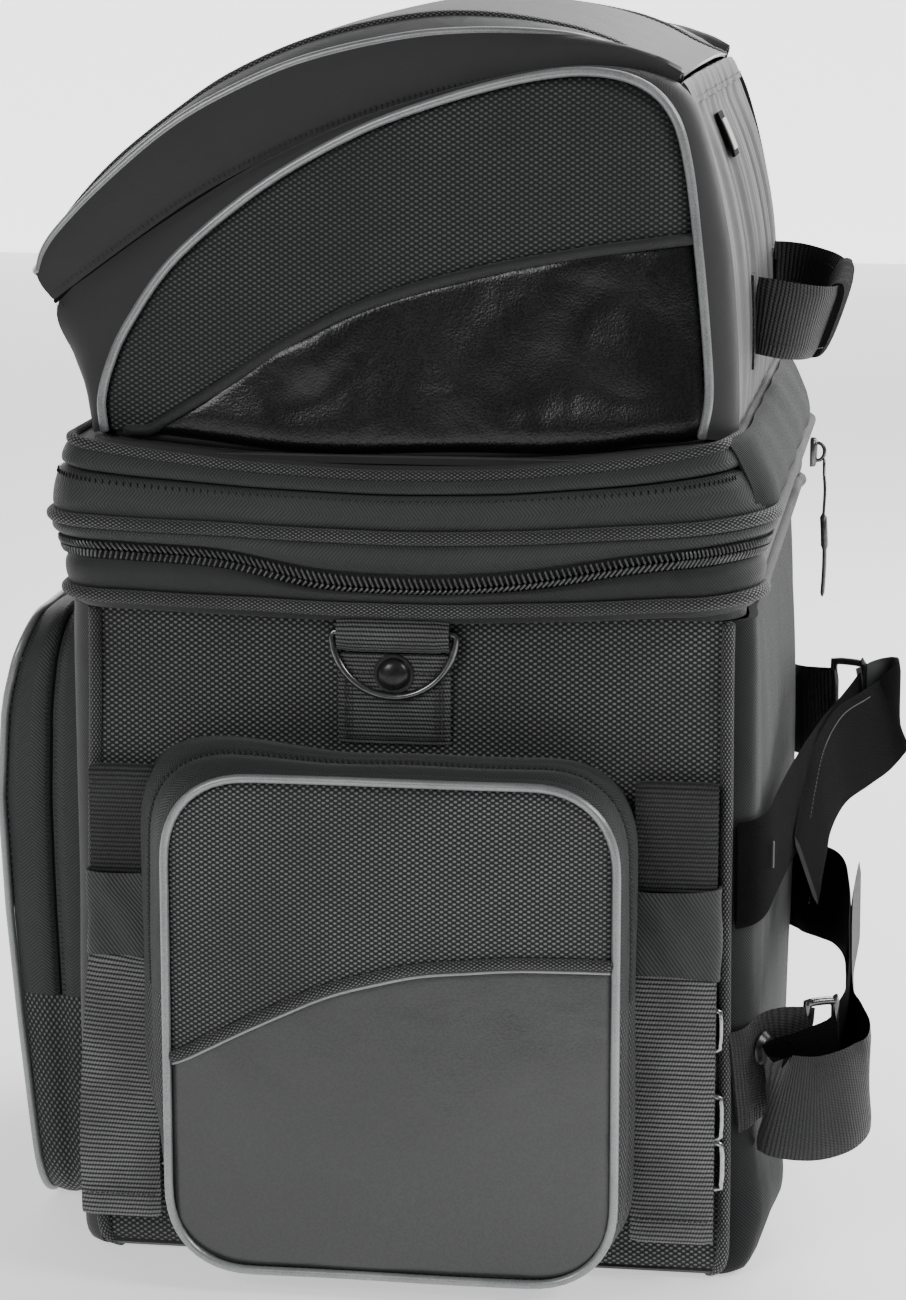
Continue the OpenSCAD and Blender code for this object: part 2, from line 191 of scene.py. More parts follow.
def mat_webbing(name, dark, light, rib=2.1, axis=0, rough=0.6, edge=0.0):
    t = NT(name)
    u, v, vec = t.uv()
    a, b = (u, v) if axis == 0 else (v, u)
    fib = t.noise(1800, vec, 2)
    wob = t.noise(120, vec, 2)
    ribs = t.m("ABSOLUTE", t.m("SINE", t.m("ADD", t.m("MULTIPLY", a, math.pi / (rib * .001)), t.m("MULTIPLY", wob, 0.7))))
    cross = t.m("ADD", t.m("MULTIPLY", t.m("SINE", t.m("ADD", t.m("MULTIPLY", b, TAU / 0.0014), t.m("MULTIPLY", a, math.pi / (rib * .001)))), 0.5), 0.5)
    h = t.m("ADD", t.m("MULTIPLY", ribs, 0.75), t.m("MULTIPLY", cross, 0.3))
    big = t.noise(30, None, 2)
    k = t.m("MULTIPLY", t.ramp(h, 0.3, 1.0), t.ramp(fib, 0.25, 0.75, 0.6, 1.15))
    k = t.m("MULTIPLY", k, t.ramp(big, 0.3, 0.7, 0.75, 1.1), clamp=True)
    col = t.mix(k, dark, light)
    nrm = t.bump(t.m("ADD", h, t.m("MULTIPLY", fib, 0.2)), 0.0006, 0.85)
    return t.done(col, rough, nrm, Specular_IOR_Level=0.35, Sheen_Weight=0.06, Sheen_Roughness=0.5)

def mat_plain(name, dark, light, rough, scale=900, bump=0.0002, metallic=0.0, spec=0.5, amp=0.5):
    t = NT(name)
    nz = t.noise(scale, None, 3)
    big = t.noise(30, None, 3)
    k = t.m("ADD", t.m("MULTIPLY", nz, 0.6), t.m("MULTIPLY", big, 0.4))
    col = t.mix(t.ramp(k, 0.3, 0.7), dark, light)
    nrm = t.bump(nz, bump, amp)
    r = t.ramp(big, 0.3, 0.7, rough - 0.05, rough + 0.05)
    return t.done(col, r, nrm, Metallic=metallic, Specular_IOR_Level=spec)

M = {}
M["ballistic"] = mat_ballistic("ballistic_nylon", (0.006, 0.0065, 0.0065), (0.19, 0.194, 0.196), 3.8, 1.33)
M["ballistic_pocket"] = mat_ballistic("ballistic_pocket", (0.007, 0.0075, 0.0075), (0.215, 0.219, 0.221), 3.7, 1.2)
M["ballistic_top"] = mat_ballistic("ballistic_top", (0.005, 0.0055, 0.0055), (0.10, 0.103, 0.105), 4.1, 1.25)
M["twill"] = mat_twill("twill_nylon", (0.007, 0.0075, 0.008), (0.032, 0.033, 0.034))
M["twill_herring"] = mat_twill("twill_herringbone", (0.008, 0.0085, 0.009), (0.045, 0.047, 0.048), 1.7, 0.6, 0.8, 7.0)
M["twill_dark"] = mat_twill("twill_lid_side", (0.006, 0.0065, 0.007), (0.018, 0.019, 0.020), 1.2, 0.6, 0.35)
M["leather"] = mat_leather("glossy_leatherette", (0.0018, 0.0018, 0.0019), (0.0042, 0.0042, 0.0044), 0.24, 0.45, 0.1)
M["leather_pocket"] = mat_leather("pocket_leatherette", (0.016, 0.0163, 0.0167), (0.034, 0.035, 0.036), 0.33, 0.3, 0.5)
# lid band: its mid grey is a painted reflection of the bright light above and behind on the glossy leatherette
M["lid_band_painted_reflection"] = mat_leather("lid_leatherette_painted_reflection", (0.17, 0.17, 0.17), (0.25, 0.25, 0.25), 0.32, 0.22, 0.35)
# lid centre: its pale grey is a painted reflection, standing in for the glare of the light above and behind on glossy
# leatherette
M["lid_center_painted_reflection"] = mat_leather("lid_center_leatherette", (0.56, 0.56, 0.56), (0.68, 0.68, 0.68), 0.30, 0.15, 0.4)
M["pleat"] = mat_twill("pleated_panel", (0.022, 0.0225, 0.022), (0.065, 0.066, 0.065), 0.9, 0.5, 0.25, 0, 0.3)
M["front"] = mat_twill("front_panel_cloth", (0.006, 0.0065, 0.007), (0.030, 0.031, 0.032), 1.3, 0.7, 0.6, 0, 0.08)
M["silver"] = mat_plain("reflective_piping", (0.20, 0.205, 0.21), (0.34, 0.345, 0.35), 0.34, 1400, 0.00012, 0.4, 0.6)
M["piping"] = mat_ballistic("woven_piping", (0.005, 0.005, 0.0055), (0.19, 0.193, 0.195), 2.7, 0.85)
M["piping_plain"] = mat_twill("twill_piping", (0.006, 0.0065, 0.007), (0.03, 0.031, 0.032), 1.1, 0.6, 0.5)
M["web"] = mat_webbing("ribbed_webbing", (0.0025, 0.0025, 0.0025), (0.21, 0.212, 0.214))
M["web_loop"] = mat_webbing("sewn_loop_webbing", (0.003, 0.003, 0.003), (0.04, 0.041, 0.042))
M["web_handle"] = mat_webbing("handle_webbing", (0.003, 0.003, 0.003), (0.034, 0.034, 0.035), 1.9, 0)
M["grip_wrap"] = mat_plain("grip_wrap", (0.007, 0.007, 0.007), (0.018, 0.018, 0.018), 0.9, 1300, 0.0010, 0.0, 0.1, 1.0)
M["web_soft"] = mat_webbing("soft_ribbed_webbing", (0.0096, 0.0096, 0.0096), (0.0281, 0.0289, 0.0296), 1.5)
M["web_dark"] = mat_webbing("dark_webbing", (0.003, 0.003, 0.003), (0.018, 0.018, 0.019))
M["web_side"] = mat_webbing("cross_ribbed_webbing", (0.003, 0.003, 0.003), (0.14, 0.142, 0.144), 1.9, 0)
M["keeper"] = mat_twill("keeper_tape", (0.005, 0.005, 0.0055), (0.055, 0.057, 0.058), 2.0, 0.6, 0.8)
M["loop"] = mat_plain("loop_pile", (0.002, 0.002, 0.002), (0.007, 0.007, 0.007), 0.95, 1300, 0.0012, 0.0, 0.03, 1.0)
M["strap"] = mat_twill("strap_face", (0.0312, 0.0325, 0.0338), (0.0884, 0.0910, 0.0910), 1.0, 0.5, 0.35)
M["coil"] = mat_plain("zip_coil", (0.04, 0.04, 0.041), (0.10, 0.101, 0.102), 0.3, 500, 0.0001)
M["tape"] = mat_twill("zip_tape", (0.004, 0.004, 0.0045), (0.012, 0.0125, 0.013), 0.9, 0.7, 0.5)
M["metal"] = mat_plain("gunmetal", (0.10, 0.101, 0.103), (0.17, 0.172, 0.175), 0.24, 300, 0.00008, 0.9, 0.5)
M["rivet"] = mat_plain("blackened_rivet", (0.012, 0.012, 0.0125), (0.03, 0.03, 0.031), 0.3, 300, 0.00008, 0.35, 0.5)
M["bright"] = mat_plain("plated_steel", (0.25, 0.25, 0.255), (0.42, 0.42, 0.43), 0.25, 300, 0.00008, 1.0, 0.5)
M["thread"] = mat_plain("thread", (0.008, 0.008, 0.009), (0.03, 0.03, 0.032), 0.6, 2000, 0.0001)
M["thread_light"] = mat_plain("thread_light", (0.02, 0.02, 0.02), (0.05, 0.05, 0.05), 0.6, 2000, 0.0001)
M["groove"] = mat_plain("groove", (0.003, 0.003, 0.003), (0.006, 0.006, 0.006), 0.9, 900, 0.0001, 0, 0.1)
M["tag"] = mat_plain("blank_tag", (0.30, 0.30, 0.27), (0.38, 0.38, 0.34), 0.5, 900, 0.0001)
M["board"] = mat_plain("stiffener", (0.05, 0.05, 0.05), (0.08, 0.08, 0.08), 0.6, 400, 0.0002)
M["lining"] = mat_twill("lining", (0.014, 0.014, 0.015), (0.034, 0.034, 0.036), 0.9, 0.65, 0.3)

# ------------------------------------------------------------------ mesh helpers (millimetres)
def arr(*p):
    return np.array(p, float)

def cr(pts, n=None, step=None, closed=False, by_index=False):
    """Smooth line through points."""
    P = np.asarray(pts, float)
    k = len(P)
    Q = np.vstack([P[-1], P, P[0], P[1]]) if closed else np.vstack([2 * P[0] - P[1], P, 2 * P[-1] - P[-2]])
    segs = k if closed else k - 1
    m = 24
    out = []
    for i in range(segs):
        p0, p1, p2, p3 = Q[i], Q[i + 1], Q[i + 2], Q[(i + 3) % len(Q)]
        for t in np.arange(m) / m:
            out.append(0.5 * ((2 * p1) + (-p0 + p2) * t + (2 * p0 - 5 * p1 + 4 * p2 - p3) * t * t + (-p0 + 3 * p1 - 3 * p2 + p3) * t ** 3))
    out.append(P[0] if closed else P[-1])
    D = np.array(out)
    if by_index:
        s = np.arange(len(D), dtype=float)
    else:
        s = np.r_[0, np.cumsum(np.linalg.norm(np.diff(D, axis=0), axis=1))]
    if n is None:
        L = np.linalg.norm(np.diff(D, axis=0), axis=1).sum()
        n = max(4, int(round(L / step)) + 1)
    q = np.linspace(0, s[-1], n + 1)[:-1] if closed else np.linspace(0, s[-1], n)
    return np.stack([np.interp(q, s, D[:, c]) for c in range(D.shape[1])], 1)

def arclen(P, closed=False):
    d = np.linalg.norm(np.diff(P, axis=0), axis=-1)
    s = np.concatenate([np.zeros((1,) + d.shape[1:]), np.cumsum(d, axis=0)])
    return s

def normals(P, cu=False, cv=False):
    a = np.roll(P, -1, 0) - np.roll(P, 1, 0)
    b = np.roll(P, -1, 1) - np.roll(P, 1, 1)
    if not cu:
        a[0] = P[1] - P[0]; a[-1] = P[-1] - P[-2]
    if not cv:
        b[:, 0] = P[:, 1] - P[:, 0]; b[:, -1] = P[:, -1] - P[:, -2]
    n = np.cross(a, b)
    l = np.linalg.norm(n, axis=-1, keepdims=True)
    return n / np.maximum(l, 1e-9)

class Geo:
    def __init__(s):
        s.v, s.f, s.uv, s.mi, s.n, s.mats = [], [], [], [], 0, []
    def mid(s, mat):
        if mat not in s.mats:
            s.mats.append(mat)
        return s.mats.index(mat)
    def quads(s, V, F, UV, mat):
        V = np.asarray(V, float).reshape(-1, 3)
        F = np.asarray(F, int).reshape(-1, 4)
        s.v.append(V); s.f.append(F + s.n); s.uv.append(np.asarray(UV, float).reshape(-1, 4, 2))
        s.mi.append(np.full(len(F), s.mid(mat), int)); s.n += len(V)
    def grid(s, P, mat, UV=None, cu=False, cv=False, flip=False):
        P = np.asarray(P, float)
        a, b = P.shape[:2]
        idx = np.arange(a * b).reshape(a, b)
        Pi = np.concatenate([P, P[:1]], 0) if cu else P
        Pi = np.concatenate([Pi, Pi[:, :1]], 1) if cv else Pi
        ii = np.concatenate([idx, idx[:1]], 0) if cu else idx
        ii = np.concatenate([ii, ii[:, :1]], 1) if cv else ii
        if UV is None:
            du = np.linalg.norm(np.diff(Pi, axis=0), axis=-1)
            dv = np.linalg.norm(np.diff(Pi, axis=1), axis=-1)
            U = np.concatenate([np.zeros((1, Pi.shape[1])), np.cumsum(du, 0)], 0)
            U = np.repeat(U.mean(1, keepdims=True), Pi.shape[1], 1)
            Vv = np.concatenate([np.zeros((Pi.shape[0], 1)), np.cumsum(dv, 1)], 1)
            UV = np.stack([U, Vv], -1)
        q = np.stack([ii[:-1, :-1], ii[1:, :-1], ii[1:, 1:], ii[:-1, 1:]], -1)
        uq = np.stack([UV[:-1, :-1], UV[1:, :-1], UV[1:, 1:], UV[:-1, 1:]], 2)
        if flip:
            q = q[..., ::-1]; uq = uq[:, :, ::-1]
        s.quads(P, q.reshape(-1, 4), uq.reshape(-1, 4, 2), mat)
        return s
    def shell(s, P, t, mat, inner=None, UV=None, cu=False, cv=False, flip=False, out=None):
        """A sheet with thickness: P is its outer face."""
        P = np.asarray(P, float)
        N = normals(P, cu, cv) * (-1 if flip else 1)
        Q = P - N * t
        s.grid(P, mat, UV, cu, cv, flip)
        s.grid(Q, inner or mat, UV, cu, cv, not flip)
        rim = lambda A, B, fl: s.grid(np.stack([A, B], 1), mat, None, False, False, fl)
        if not cv:
            rim(P[:, 0], Q[:, 0], not flip) ; rim(P[:, -1], Q[:, -1], flip)
        if not cu:
            rim(P[0], Q[0], flip) ; rim(P[-1], Q[-1], not flip)
        return s
    def tube(s, path, r, mat, closed=False, sides=10, cap=True, up=None, squash=1.0):
        P = np.asarray(path, float)
        n = len(P)
        if closed:
            T = np.roll(P, -1, 0) - np.roll(P, 1, 0)
        else:
            T = np.gradient(P, axis=0)
        T /= np.maximum(np.linalg.norm(T, axis=1, keepdims=True), 1e-9)
        A = np.zeros_like(P)
        ref = arr(0, 0, 1) if up is None else np.asarray(up, float)
        if abs(np.dot(ref, T[0])) > 0.95:
            ref = arr(1, 0, 0)
        a = ref - np.dot(ref, T[0]) * T[0]
        a /= np.linalg.norm(a)
        for i in range(n):
            a = a - np.dot(a, T[i]) * T[i]
            a /= max(np.linalg.norm(a), 1e-9)
            A[i] = a
        B = np.cross(T, A)
        if closed:
            # undo the twist left over after one turn
            a_end = A[-1] - np.dot(A[-1], T[0]) * T[0]
            ang = math.atan2(np.dot(a_end, B[0]), np.dot(a_end, A[0]))
            w = -ang * np.arange(n) / n
            A, B = A * np.cos(w)[:, None] + B * np.sin(w)[:, None], -A * np.sin(w)[:, None] + B * np.cos(w)[:, None]
        rr = np.broadcast_to(np.asarray(r, float), (n,))
        th = np.arange(sides) / sides * TAU
        R = P[:, None] + rr[:, None, None] * (A[:, None] * np.cos(th)[None, :, None] + B[:, None] * np.sin(th)[None, :, None] * squash)
        seg = np.linalg.norm(np.diff(np.vstack([P, P[:1]]) if closed else P, axis=0), axis=1)
        L = np.r_[0, np.cumsum(seg)]
        W = np.linspace(0, TAU * rr.mean(), sides + 1)
        UV = np.stack(np.meshgrid(L, W, indexing="ij"), -1)
        s.grid(R, mat, UV, cu=closed, cv=True, flip=True)
        if cap and not closed:
            for k, fl in ((0, False), (n - 1, True)):
                c = P[k] + (T[k] * (-0.45 if k == 0 else 0.45)) * rr[k]
                ring2 = P[k] + (R[k] - P[k]) * 0.6 + T[k] * (-0.35 if k == 0 else 0.35) * rr[k]
                G = np.stack([R[k], ring2, np.repeat(c[None], sides, 0)], 1)
                s.grid(G, mat, None, cu=True, flip=not fl)
        return s
    def mirror(s):
        """The same pieces on the other side of the centre plane."""
        g = Geo()
        g.v = [v * arr(1, -1, 1) for v in s.v]
        g.f = [f[:, ::-1].copy() for f in s.f]
        g.uv = [u[:, ::-1].copy() for u in s.uv]
        g.mi = [m.copy() for m in s.mi]
        g.n, g.mats = s.n, list(s.mats)
        return g
    def build(s, name, body, slot, replaces=(), blend=None, smooth=True, padded=None, bevel=0):
        V = np.concatenate(s.v) * 0.001
        F = np.concatenate(s.f)
        UV = np.concatenate(s.uv) * 0.001
        MI = np.concatenate(s.mi)
        me = bpy.data.meshes.new(name)
        me.vertices.add(len(V)); me.vertices.foreach_set("co", V.astype(np.float32).ravel())
        me.loops.add(len(F) * 4); me.loops.foreach_set("vertex_index", F.astype(np.int32).ravel())
        me.polygons.add(len(F)); me.polygons.foreach_set("loop_start", np.arange(0, len(F) * 4, 4, dtype=np.int32))
        me.polygons.foreach_set("loop_total", np.full(len(F), 4, np.int32))
        for m in s.mats:
            me.materials.append(M[m])
        me.polygons.foreach_set("material_index", MI.astype(np.int32))
        me.polygons.foreach_set("use_smooth", np.full(len(F), smooth, bool))
        lay = me.uv_layers.new(name="weave")
        lay.data.foreach_set("uv", UV.astype(np.float32).ravel())
        me.update(calc_edges=True)
        me.validate(clean_customdata=False)
        import bmesh
        bm = bmesh.new(); bm.from_mesh(me)
        bmesh.ops.remove_doubles(bm, verts=bm.verts, dist=2e-6)
        bmesh.ops.dissolve_degenerate(bm, edges=bm.edges, dist=1e-6)
        bmesh.ops.recalc_face_normals(bm, faces=bm.faces)
        bm.to_mesh(me); bm.free()
        ob = bpy.data.objects.new(name, me)
        SCENE.collection.objects.link(ob)
        # crisp rims between an outer face and its edge strip
        if smooth:
            me.set_sharp_from_angle(angle=math.radians(50))
        if blend:
            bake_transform(ob)
        else:
            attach(ob, body)
        if replaces:
            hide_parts(*replaces)
        return ob

def stitches(g, path, mat="thread", pitch=3.2, length=2.3, r=0.28, lift=None, closed=False):
    """A row of stitches along a line; lift is an offset added to every point."""
    P = cr(path, step=pitch, closed=closed) if len(path) > 2 else np.linspace(path[0], path[1], max(2, int(np.linalg.norm(np.subtract(path[1], path[0])) / pitch) + 1))
    if lift is not None:
        P = P + np.asarray(lift)
    T = np.gradient(P, axis=0); T /= np.linalg.norm(T, axis=1, keepdims=True)
    for p, t in zip(P, T):
        g.tube([p - t * length / 2, p - t * length / 4, p + t * length / 4, p + t * length / 2], [r * .5, r, r, r * .5], mat, sides=5, cap=False)

def ticks(g, P, side, mat="thread", off=1.2, length=2.6, r=0.25):
    """Short marks across a line on both sides, as a reverse coil zip's stitching shows."""
    for p, n in zip(P, side):
        for s in (-1, 1):
            a = p + n * s * off; b = p + n * s * (off + length)
            g.tube([a, (a + b) / 2, b], [r * .6, r, r * .6], mat, sides=4, cap=False)

def rrpath(hx, hy, r, step=5.0, rf=None):
    """Closed plan outline from the middle of the -Y side, going to +X, with outward normals. rf: radius of the two front corners."""
    rf = r if rf is None else rf
    pts, nr = [], []
    def line(a, b):
        n = max(1, int(np.linalg.norm(np.subtract(b, a)) / step))
        for i in range(n):
            pts.append(np.add(a, np.subtract(b, a) * i / n))
    def add_n(k, nv):
        for _ in range(k):
            nr.append(nv)
    def seg(a, b, nv):
        k0 = len(pts); line(a, b); add_n(len(pts) - k0, arr(*nv))
    def arc(cx, cy, a0, r):
        n = max(5, int(r * math.pi / 2 / (step * .7)))
        for i in range(n):
            a = a0 + math.pi / 2 * i / n
            pts.append(arr(cx + r * math.cos(a), cy + r * math.sin(a))); nr.append(arr(math.cos(a), math.sin(a)))
    seg(arr(0, -hy), arr(hx - rf, -hy), (0, -1)); arc(hx - rf, -hy + rf, -math.pi / 2, rf)
    seg(arr(hx, -hy + rf), arr(hx, hy - rf), (1, 0)); arc(hx - rf, hy - rf, 0, rf)
    seg(arr(hx - rf, hy), arr(-hx + r, hy), (0, 1)); arc(-hx + r, hy - r, math.pi / 2, r)
    seg(arr(-hx, hy - r), arr(-hx, -hy + r), (-1, 0)); arc(-hx + r, -hy + r, math.pi, r)
    seg(arr(-hx + r, -hy), arr(0, -hy), (0, -1))
    return np.array(pts), np.array(nr)

def smooth01(x, a, b):
    t = np.clip((np.asarray(x, float) - a) / (b - a), 0, 1)
    return t * t * (3 - 2 * t)

def wob(x, y, z=0.0, s=1.0):
    """Gentle unevenness, the same on every run."""
    return s * (np.sin(x * .031 + 1.7 * np.sin(z * .021 + y * .013)) * .5 + np.sin(z * .047 + .9 + y * .029) * .3 + np.sin(x * .083 + z * .061 + 2.2) * .2)

# how far the bands ride up towards the front, and the zip's sag at the sides
def dz(x, z=381):
    q = np.minimum(np.abs(x) / 150.0, 1.1)
    rear = np.where(z > 365, 8.0 * q ** 2.2, 4.0 * q ** 2)
    front = np.where(z > 365, 14.0 * q ** 2.2, 8.5 * q ** 2)
    base = np.interp(z, [306, 312, 333, 349, 362, 382, 400], [1.0, 1.6, 0.2, -1.5, -2.4, -8.6, -8.6])
    t = smooth01(z, 349, 378)
    e = 4.2 * smooth01(z, 362, 382)
    rear = 4.0 * q ** 2 * (1 - t) + (8.0 + e) * q ** 2.2 * t
    front = 8.5 * q ** 2 * (1 - t) + (14.0 + e) * q ** 2.2 * t
    return base + np.where(x < 0, rear, front)
def sag(x, y, z):
    side = smooth01(np.abs(y), 140, 184)
    d = x + 5.0
    w = np.where(d < 0, 62.0, 97.0)
    s = 1.5 - 11.5 * np.exp(-np.abs(d / w) ** 3)
    return side * s * np.exp(-((z - 333) / 9.5) ** 2)
def band_ring(profile, step=5.0, front_in=None, level=False):
    """A ring swept round the bag. profile: (outward offset, height)."""
    path, nr = rrpath(164, 188, 22, step, 38)
    prof = np.asarray(profile, float)
    z = np.repeat(prof[None, :, 1], len(path), 0)
    corner = (2 * np.abs(nr[:, 0] * nr[:, 1]) * (nr[:, 0] > 0))[:, None]
    off = prof[None, :, 0] + 6.2 * corner * (1 - smooth01(z, 314, 346))
    x = path[:, 0][:, None] + nr[:, 0][:, None] * off
    y = path[:, 1][:, None] + nr[:, 1][:, None] * off
    if front_in is not None:
        f = smooth01(path[:, 0], 140, 164)[:, None]
        x = x - f * np.interp(z, front_in[0], front_in[1])
    x = x * (1 - 0.040 * smooth01(342 - z, 0, 26))
    if not level:
        z = z + dz(x, z) + sag(x, y, z) + wob(x * 1.3, y, z, 0.5)
    return np.stack([x, y, z], -1)
def band_line(off, z, step=5.0, front_in=None):
    return band_ring([(off, z)], step, front_in)[:, 0]
FRONT_IN = ([350, 384, 392], [0, 9, 12])

# ------------------------------------------------------------------ lower case
def side_panel():
    g = Geo()
    X = np.r_[-147.5, -146, np.linspace(-143.5, 143.5, 78), 146, 147.5]
    Z = np.r_[1.5, 2.5, np.linspace(5, 306, 82), 310]
    xx, zz = np.meshgrid(X, Z, indexing="ij")
    u = xx / 147; v = (zz - 155) / 155
    b = 3.4 * (1 - np.abs(u) ** 3) * (1 - np.abs(v) ** 4)
    tuck = 2.6 * np.exp(-((147.5 - np.abs(xx)) / 3.0) ** 2) + 5 * np.exp(-((zz - 0.5) / 4.0) ** 2)
    yy = -(176 + b - tuck) + wob(xx, 3, zz, 0.9)
    P = np.stack([xx, yy, zz], -1)
    g.shell(P, 4.0, "ballistic", "lining", UV=np.stack([xx, zz], -1))
    return g
side_panel().build("side_cloth_right", "case", "ballistic", ["side_panel_right"], padded=0.5)
side_panel().mirror().build("side_cloth_left", "case", "ballistic", ["side_panel_left"], padded=0.5)

def end_path(sign):
    """Plan line of the front or rear cloth, from the right piping round to the left one."""
    pts = []
    for a in np.linspace(-66, 0, 7):
        pts.append(arr(142 + 14 * math.cos(math.radians(a)), -162 + 14 * math.sin(math.radians(a))))
    for y in np.linspace(-155, 155, 60):
        pts.append(arr(156, y))
    for a in np.linspace(0, 66, 7):
        pts.append(arr(142 + 14 * math.cos(math.radians(a)), 162 + 14 * math.sin(math.radians(a))))
    return np.array(pts)
def end_panel(sign, mat, bulge):
    path = end_path(1)
    T = np.gradient(path, axis=0); T /= np.linalg.norm(T, axis=1, keepdims=True)
    N = np.stack([T[:, 1], -T[:, 0]], 1)
    Z = np.r_[0.4, 1.0, 2.4, np.linspace(5, 305, 76), 310]
    inz = np.interp(Z, [0, 0.4, 1.0, 2.4, 6, 10, 400], [7, 6, 4, 1.8, 0.3, 0, 0])
    s = np.clip(1 - (np.abs(path[:, 1]) / 174) ** 8, 0, 1)
    vb = np.clip(1 - np.abs((Z - 150) / 155) ** 3, 0, 1)
    off = bulge * s[:, None] * vb[None] - inz[None]
    if sign > 0:
        off = off + 13.0 * (s * smooth01(-path[:, 1], 20, 120))[:, None] * np.exp(-((Z - 30) / 32) ** 2)[None] * np.interp(Z, [0, 10, 24], [.25, .7, 1])[None]
    x = path[:, 0][:, None] + N[:, 0][:, None] * off
    y = path[:, 1][:, None] + N[:, 1][:, None] * off
    z = np.repeat(Z[None], len(path), 0)
    ripple = smooth01(x, 150, 156) * (0.9 * np.sin(y * .11 + 0.8 * np.sin(z * .03)) * np.exp(-((np.abs(y) - 150) / 30) ** 2) + wob(y, 9, z, 0.8))
    x = x + ripple
    P = np.stack([x * sign, y, z], -1)
    g = Geo()
    L = arclen(path)
    UV = np.stack([np.repeat(L[:, None], len(Z), 1), z], -1)
    g.shell(P, 4.0, mat, "lining", UV=UV, flip=sign < 0)
    return g
end_panel(1, "front", 5.0).build("front_cloth", "case", "twill", ["front_panel"], padded=0.5)
end_panel(-1, "twill", 3.0).build("rear_cloth", "case", "twill", ["rear_panel"], padded=0.5)

g = Geo()
path, nr = rrpath(155, 175, 14, 6)
ts = np.array([1.0, 0.985, 0.96, 0.9, 0.8, 0.65, 0.5, 0.3, 0.15, 0.0006])
zs = np.array([3.4, 1.3, 0.5, 0.25, 0.2, 0.2, 0.2, 0.2, 0.2, 0.2])
P = np.stack([np.stack([path[:, 0] * t, path[:, 1] * t, np.full(len(path), z)], -1) for t, z in zip(ts, zs)], 1)
g.shell(P, 3.0, "twill", "lining", UV=P[..., :2].repeat(1, 0) if False else None, cu=True, flip=True)
g.build("base_cloth", "case", "twill", ["base_panel"])
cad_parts["base_board"].data.materials.clear(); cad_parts["base_board"].data.materials.append(M["board"])
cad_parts["lid_stiffener"].data.materials.clear(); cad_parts["lid_stiffener"].data.materials.append(M["lining"])

g = Geo()
for sx in (-1, 1):
    for sy in (-1, 1):
        z = np.linspace(1.5, 309, 100)
        x = 146.5 + 0.7 * np.sin(z * .02 + sx) - 1.5 * smooth01(z, 200, 309) - 7 * np.exp(-(z - 1.5) / 3.5)
        y = 176.3 - 8 * np.exp(-(z - 1.5) / 4.0) + 0.4 * np.sin(z * .05)
        g.tube(np.stack([sx * x, sy * y, z], 1), 3.0, "piping", sides=12)
g.tube(band_line(1.2, 312.3), 3.1, "piping", closed=True, sides=12)
g.build("case_piping", "case", "black_piping", ["body_piping"])

g = Geo()
prof = [(-12, 305.0), (-5, 306.2), (-1.8, 308.5), (-0.6, 311), (-0.9, 314), (0.6, 316), (1.4, 318.5), (1.5, 321), (0.8, 324), (-0.6, 326.4), (-1.6, 327.4), (-2.0, 328.6)]
g.shell(band_ring(cr(prof, 20)), 2.0, "twill", "lining", cu=True)
g.build("lower_band_cloth", "case", "twill", ["lower_band"], padded=0.4)

# expansion zip: two rows of coil, tape, and the folded gusset between them
def coil(g, z0, zt, line_off, mat="coil"):
    A = band_line(line_off, z0, 2.5); B = band_line(line_off + 0.2, zt, 2.5)
    k = int(len(A))
    n = 560
    s = np.linspace(0, len(A), n, endpoint=False)
    ia = lambda Q, q: np.stack([np.interp(q % len(Q), np.arange(len(Q) + 1), np.r_[Q[:, c], Q[0, c]]) for c in range(3)], 1)
    a = ia(A, s); b = ia(B, s + 0.85)
    T = ia(A, s + 1) - a; T /= np.linalg.norm(T, axis=1, keepdims=True)
    out = np.cross(T, arr(0, 0, 1.0)); out /= np.linalg.norm(out, axis=1, keepdims=True)
    for p, q, o in zip(a, b, out):
        g.tube([p - o * .6, p + (q - p) * .12 + o * .75, p + (q - p) * .5 + o * 1.05, p + (q - p) * .88 + o * .8, q - o * .2], [.4, .54, .48, .58, .5], mat, sides=6, cap=True)
g = Geo()
coil(g, 329.2, 332.8, -1.4)
g.shell(band_ring([(-2.6, 326.5), (-2.4, 329), (-2.6, 332.3)]), 0.8, "tape", cu=True)
g.build("expansion_zip_lower_coil", "case", "zip_coil", ["expansion_zip_lower"])
g = Geo()
coil(g, 337.0, 333.4, -1.4)
g.shell(band_ring([(-2.6, 333.8), (-2.4, 337), (-2.6, 339.5)]), 0.8, "tape", cu=True)
g.build("expansion_zip_upper_coil", "expansion", "zip_coil", ["expansion_zip_upper"])
g = Geo()
prof = [(-7.4, 311.0), (-7.0, 318), (-6.8, 324), (-6.6, 327.8), (-10.5, 329.0), (-6.2, 330.2), (-10.5, 331.6), (-6.2, 333), (-10.5, 334.4), (-6.2, 335.8), (-10.5, 337.0), (-6.6, 338.4), (-6.6, 344), (-6.8, 350), (-7.0, 356)]
g.shell(band_ring(cr(prof, 60), level=True), 0.5, "twill", "lining", cu=True)
g.build("expansion_gusset_cloth", "case", "ballistic", ["expansion_gusset"], blend=("case", "expansion", (0, 0, 328.2), (0, 0, 338.2)))

g = Geo()
prof = [(-3.2, 337.6), (-1.0, 338.6), (0.8, 340.4), (1.6, 343), (1.2, 345.6), (-0.4, 347.2), (-0.6, 350.4), (0.6, 352.4), (1.0, 355), (0.6, 359), (-0.4, 363), (-1.5, 366.4), (-2.6, 368.4), (-4.4, 369.3), (-7, 369.6)]
g.shell(band_ring(cr(prof, 22), front_in=FRONT_IN), 2.0, "twill_herring", "lining", cu=True)
g.build("expansion_band_cloth", "expansion", "twill", ["expansion_band"], padded=0.4)
g = Geo()
g.tube(band_line(1.0, 348.8), 3.1, "piping", closed=True, sides=12)
g.build("mid_piping_cord", "expansion", "black_piping", ["mid_piping"])

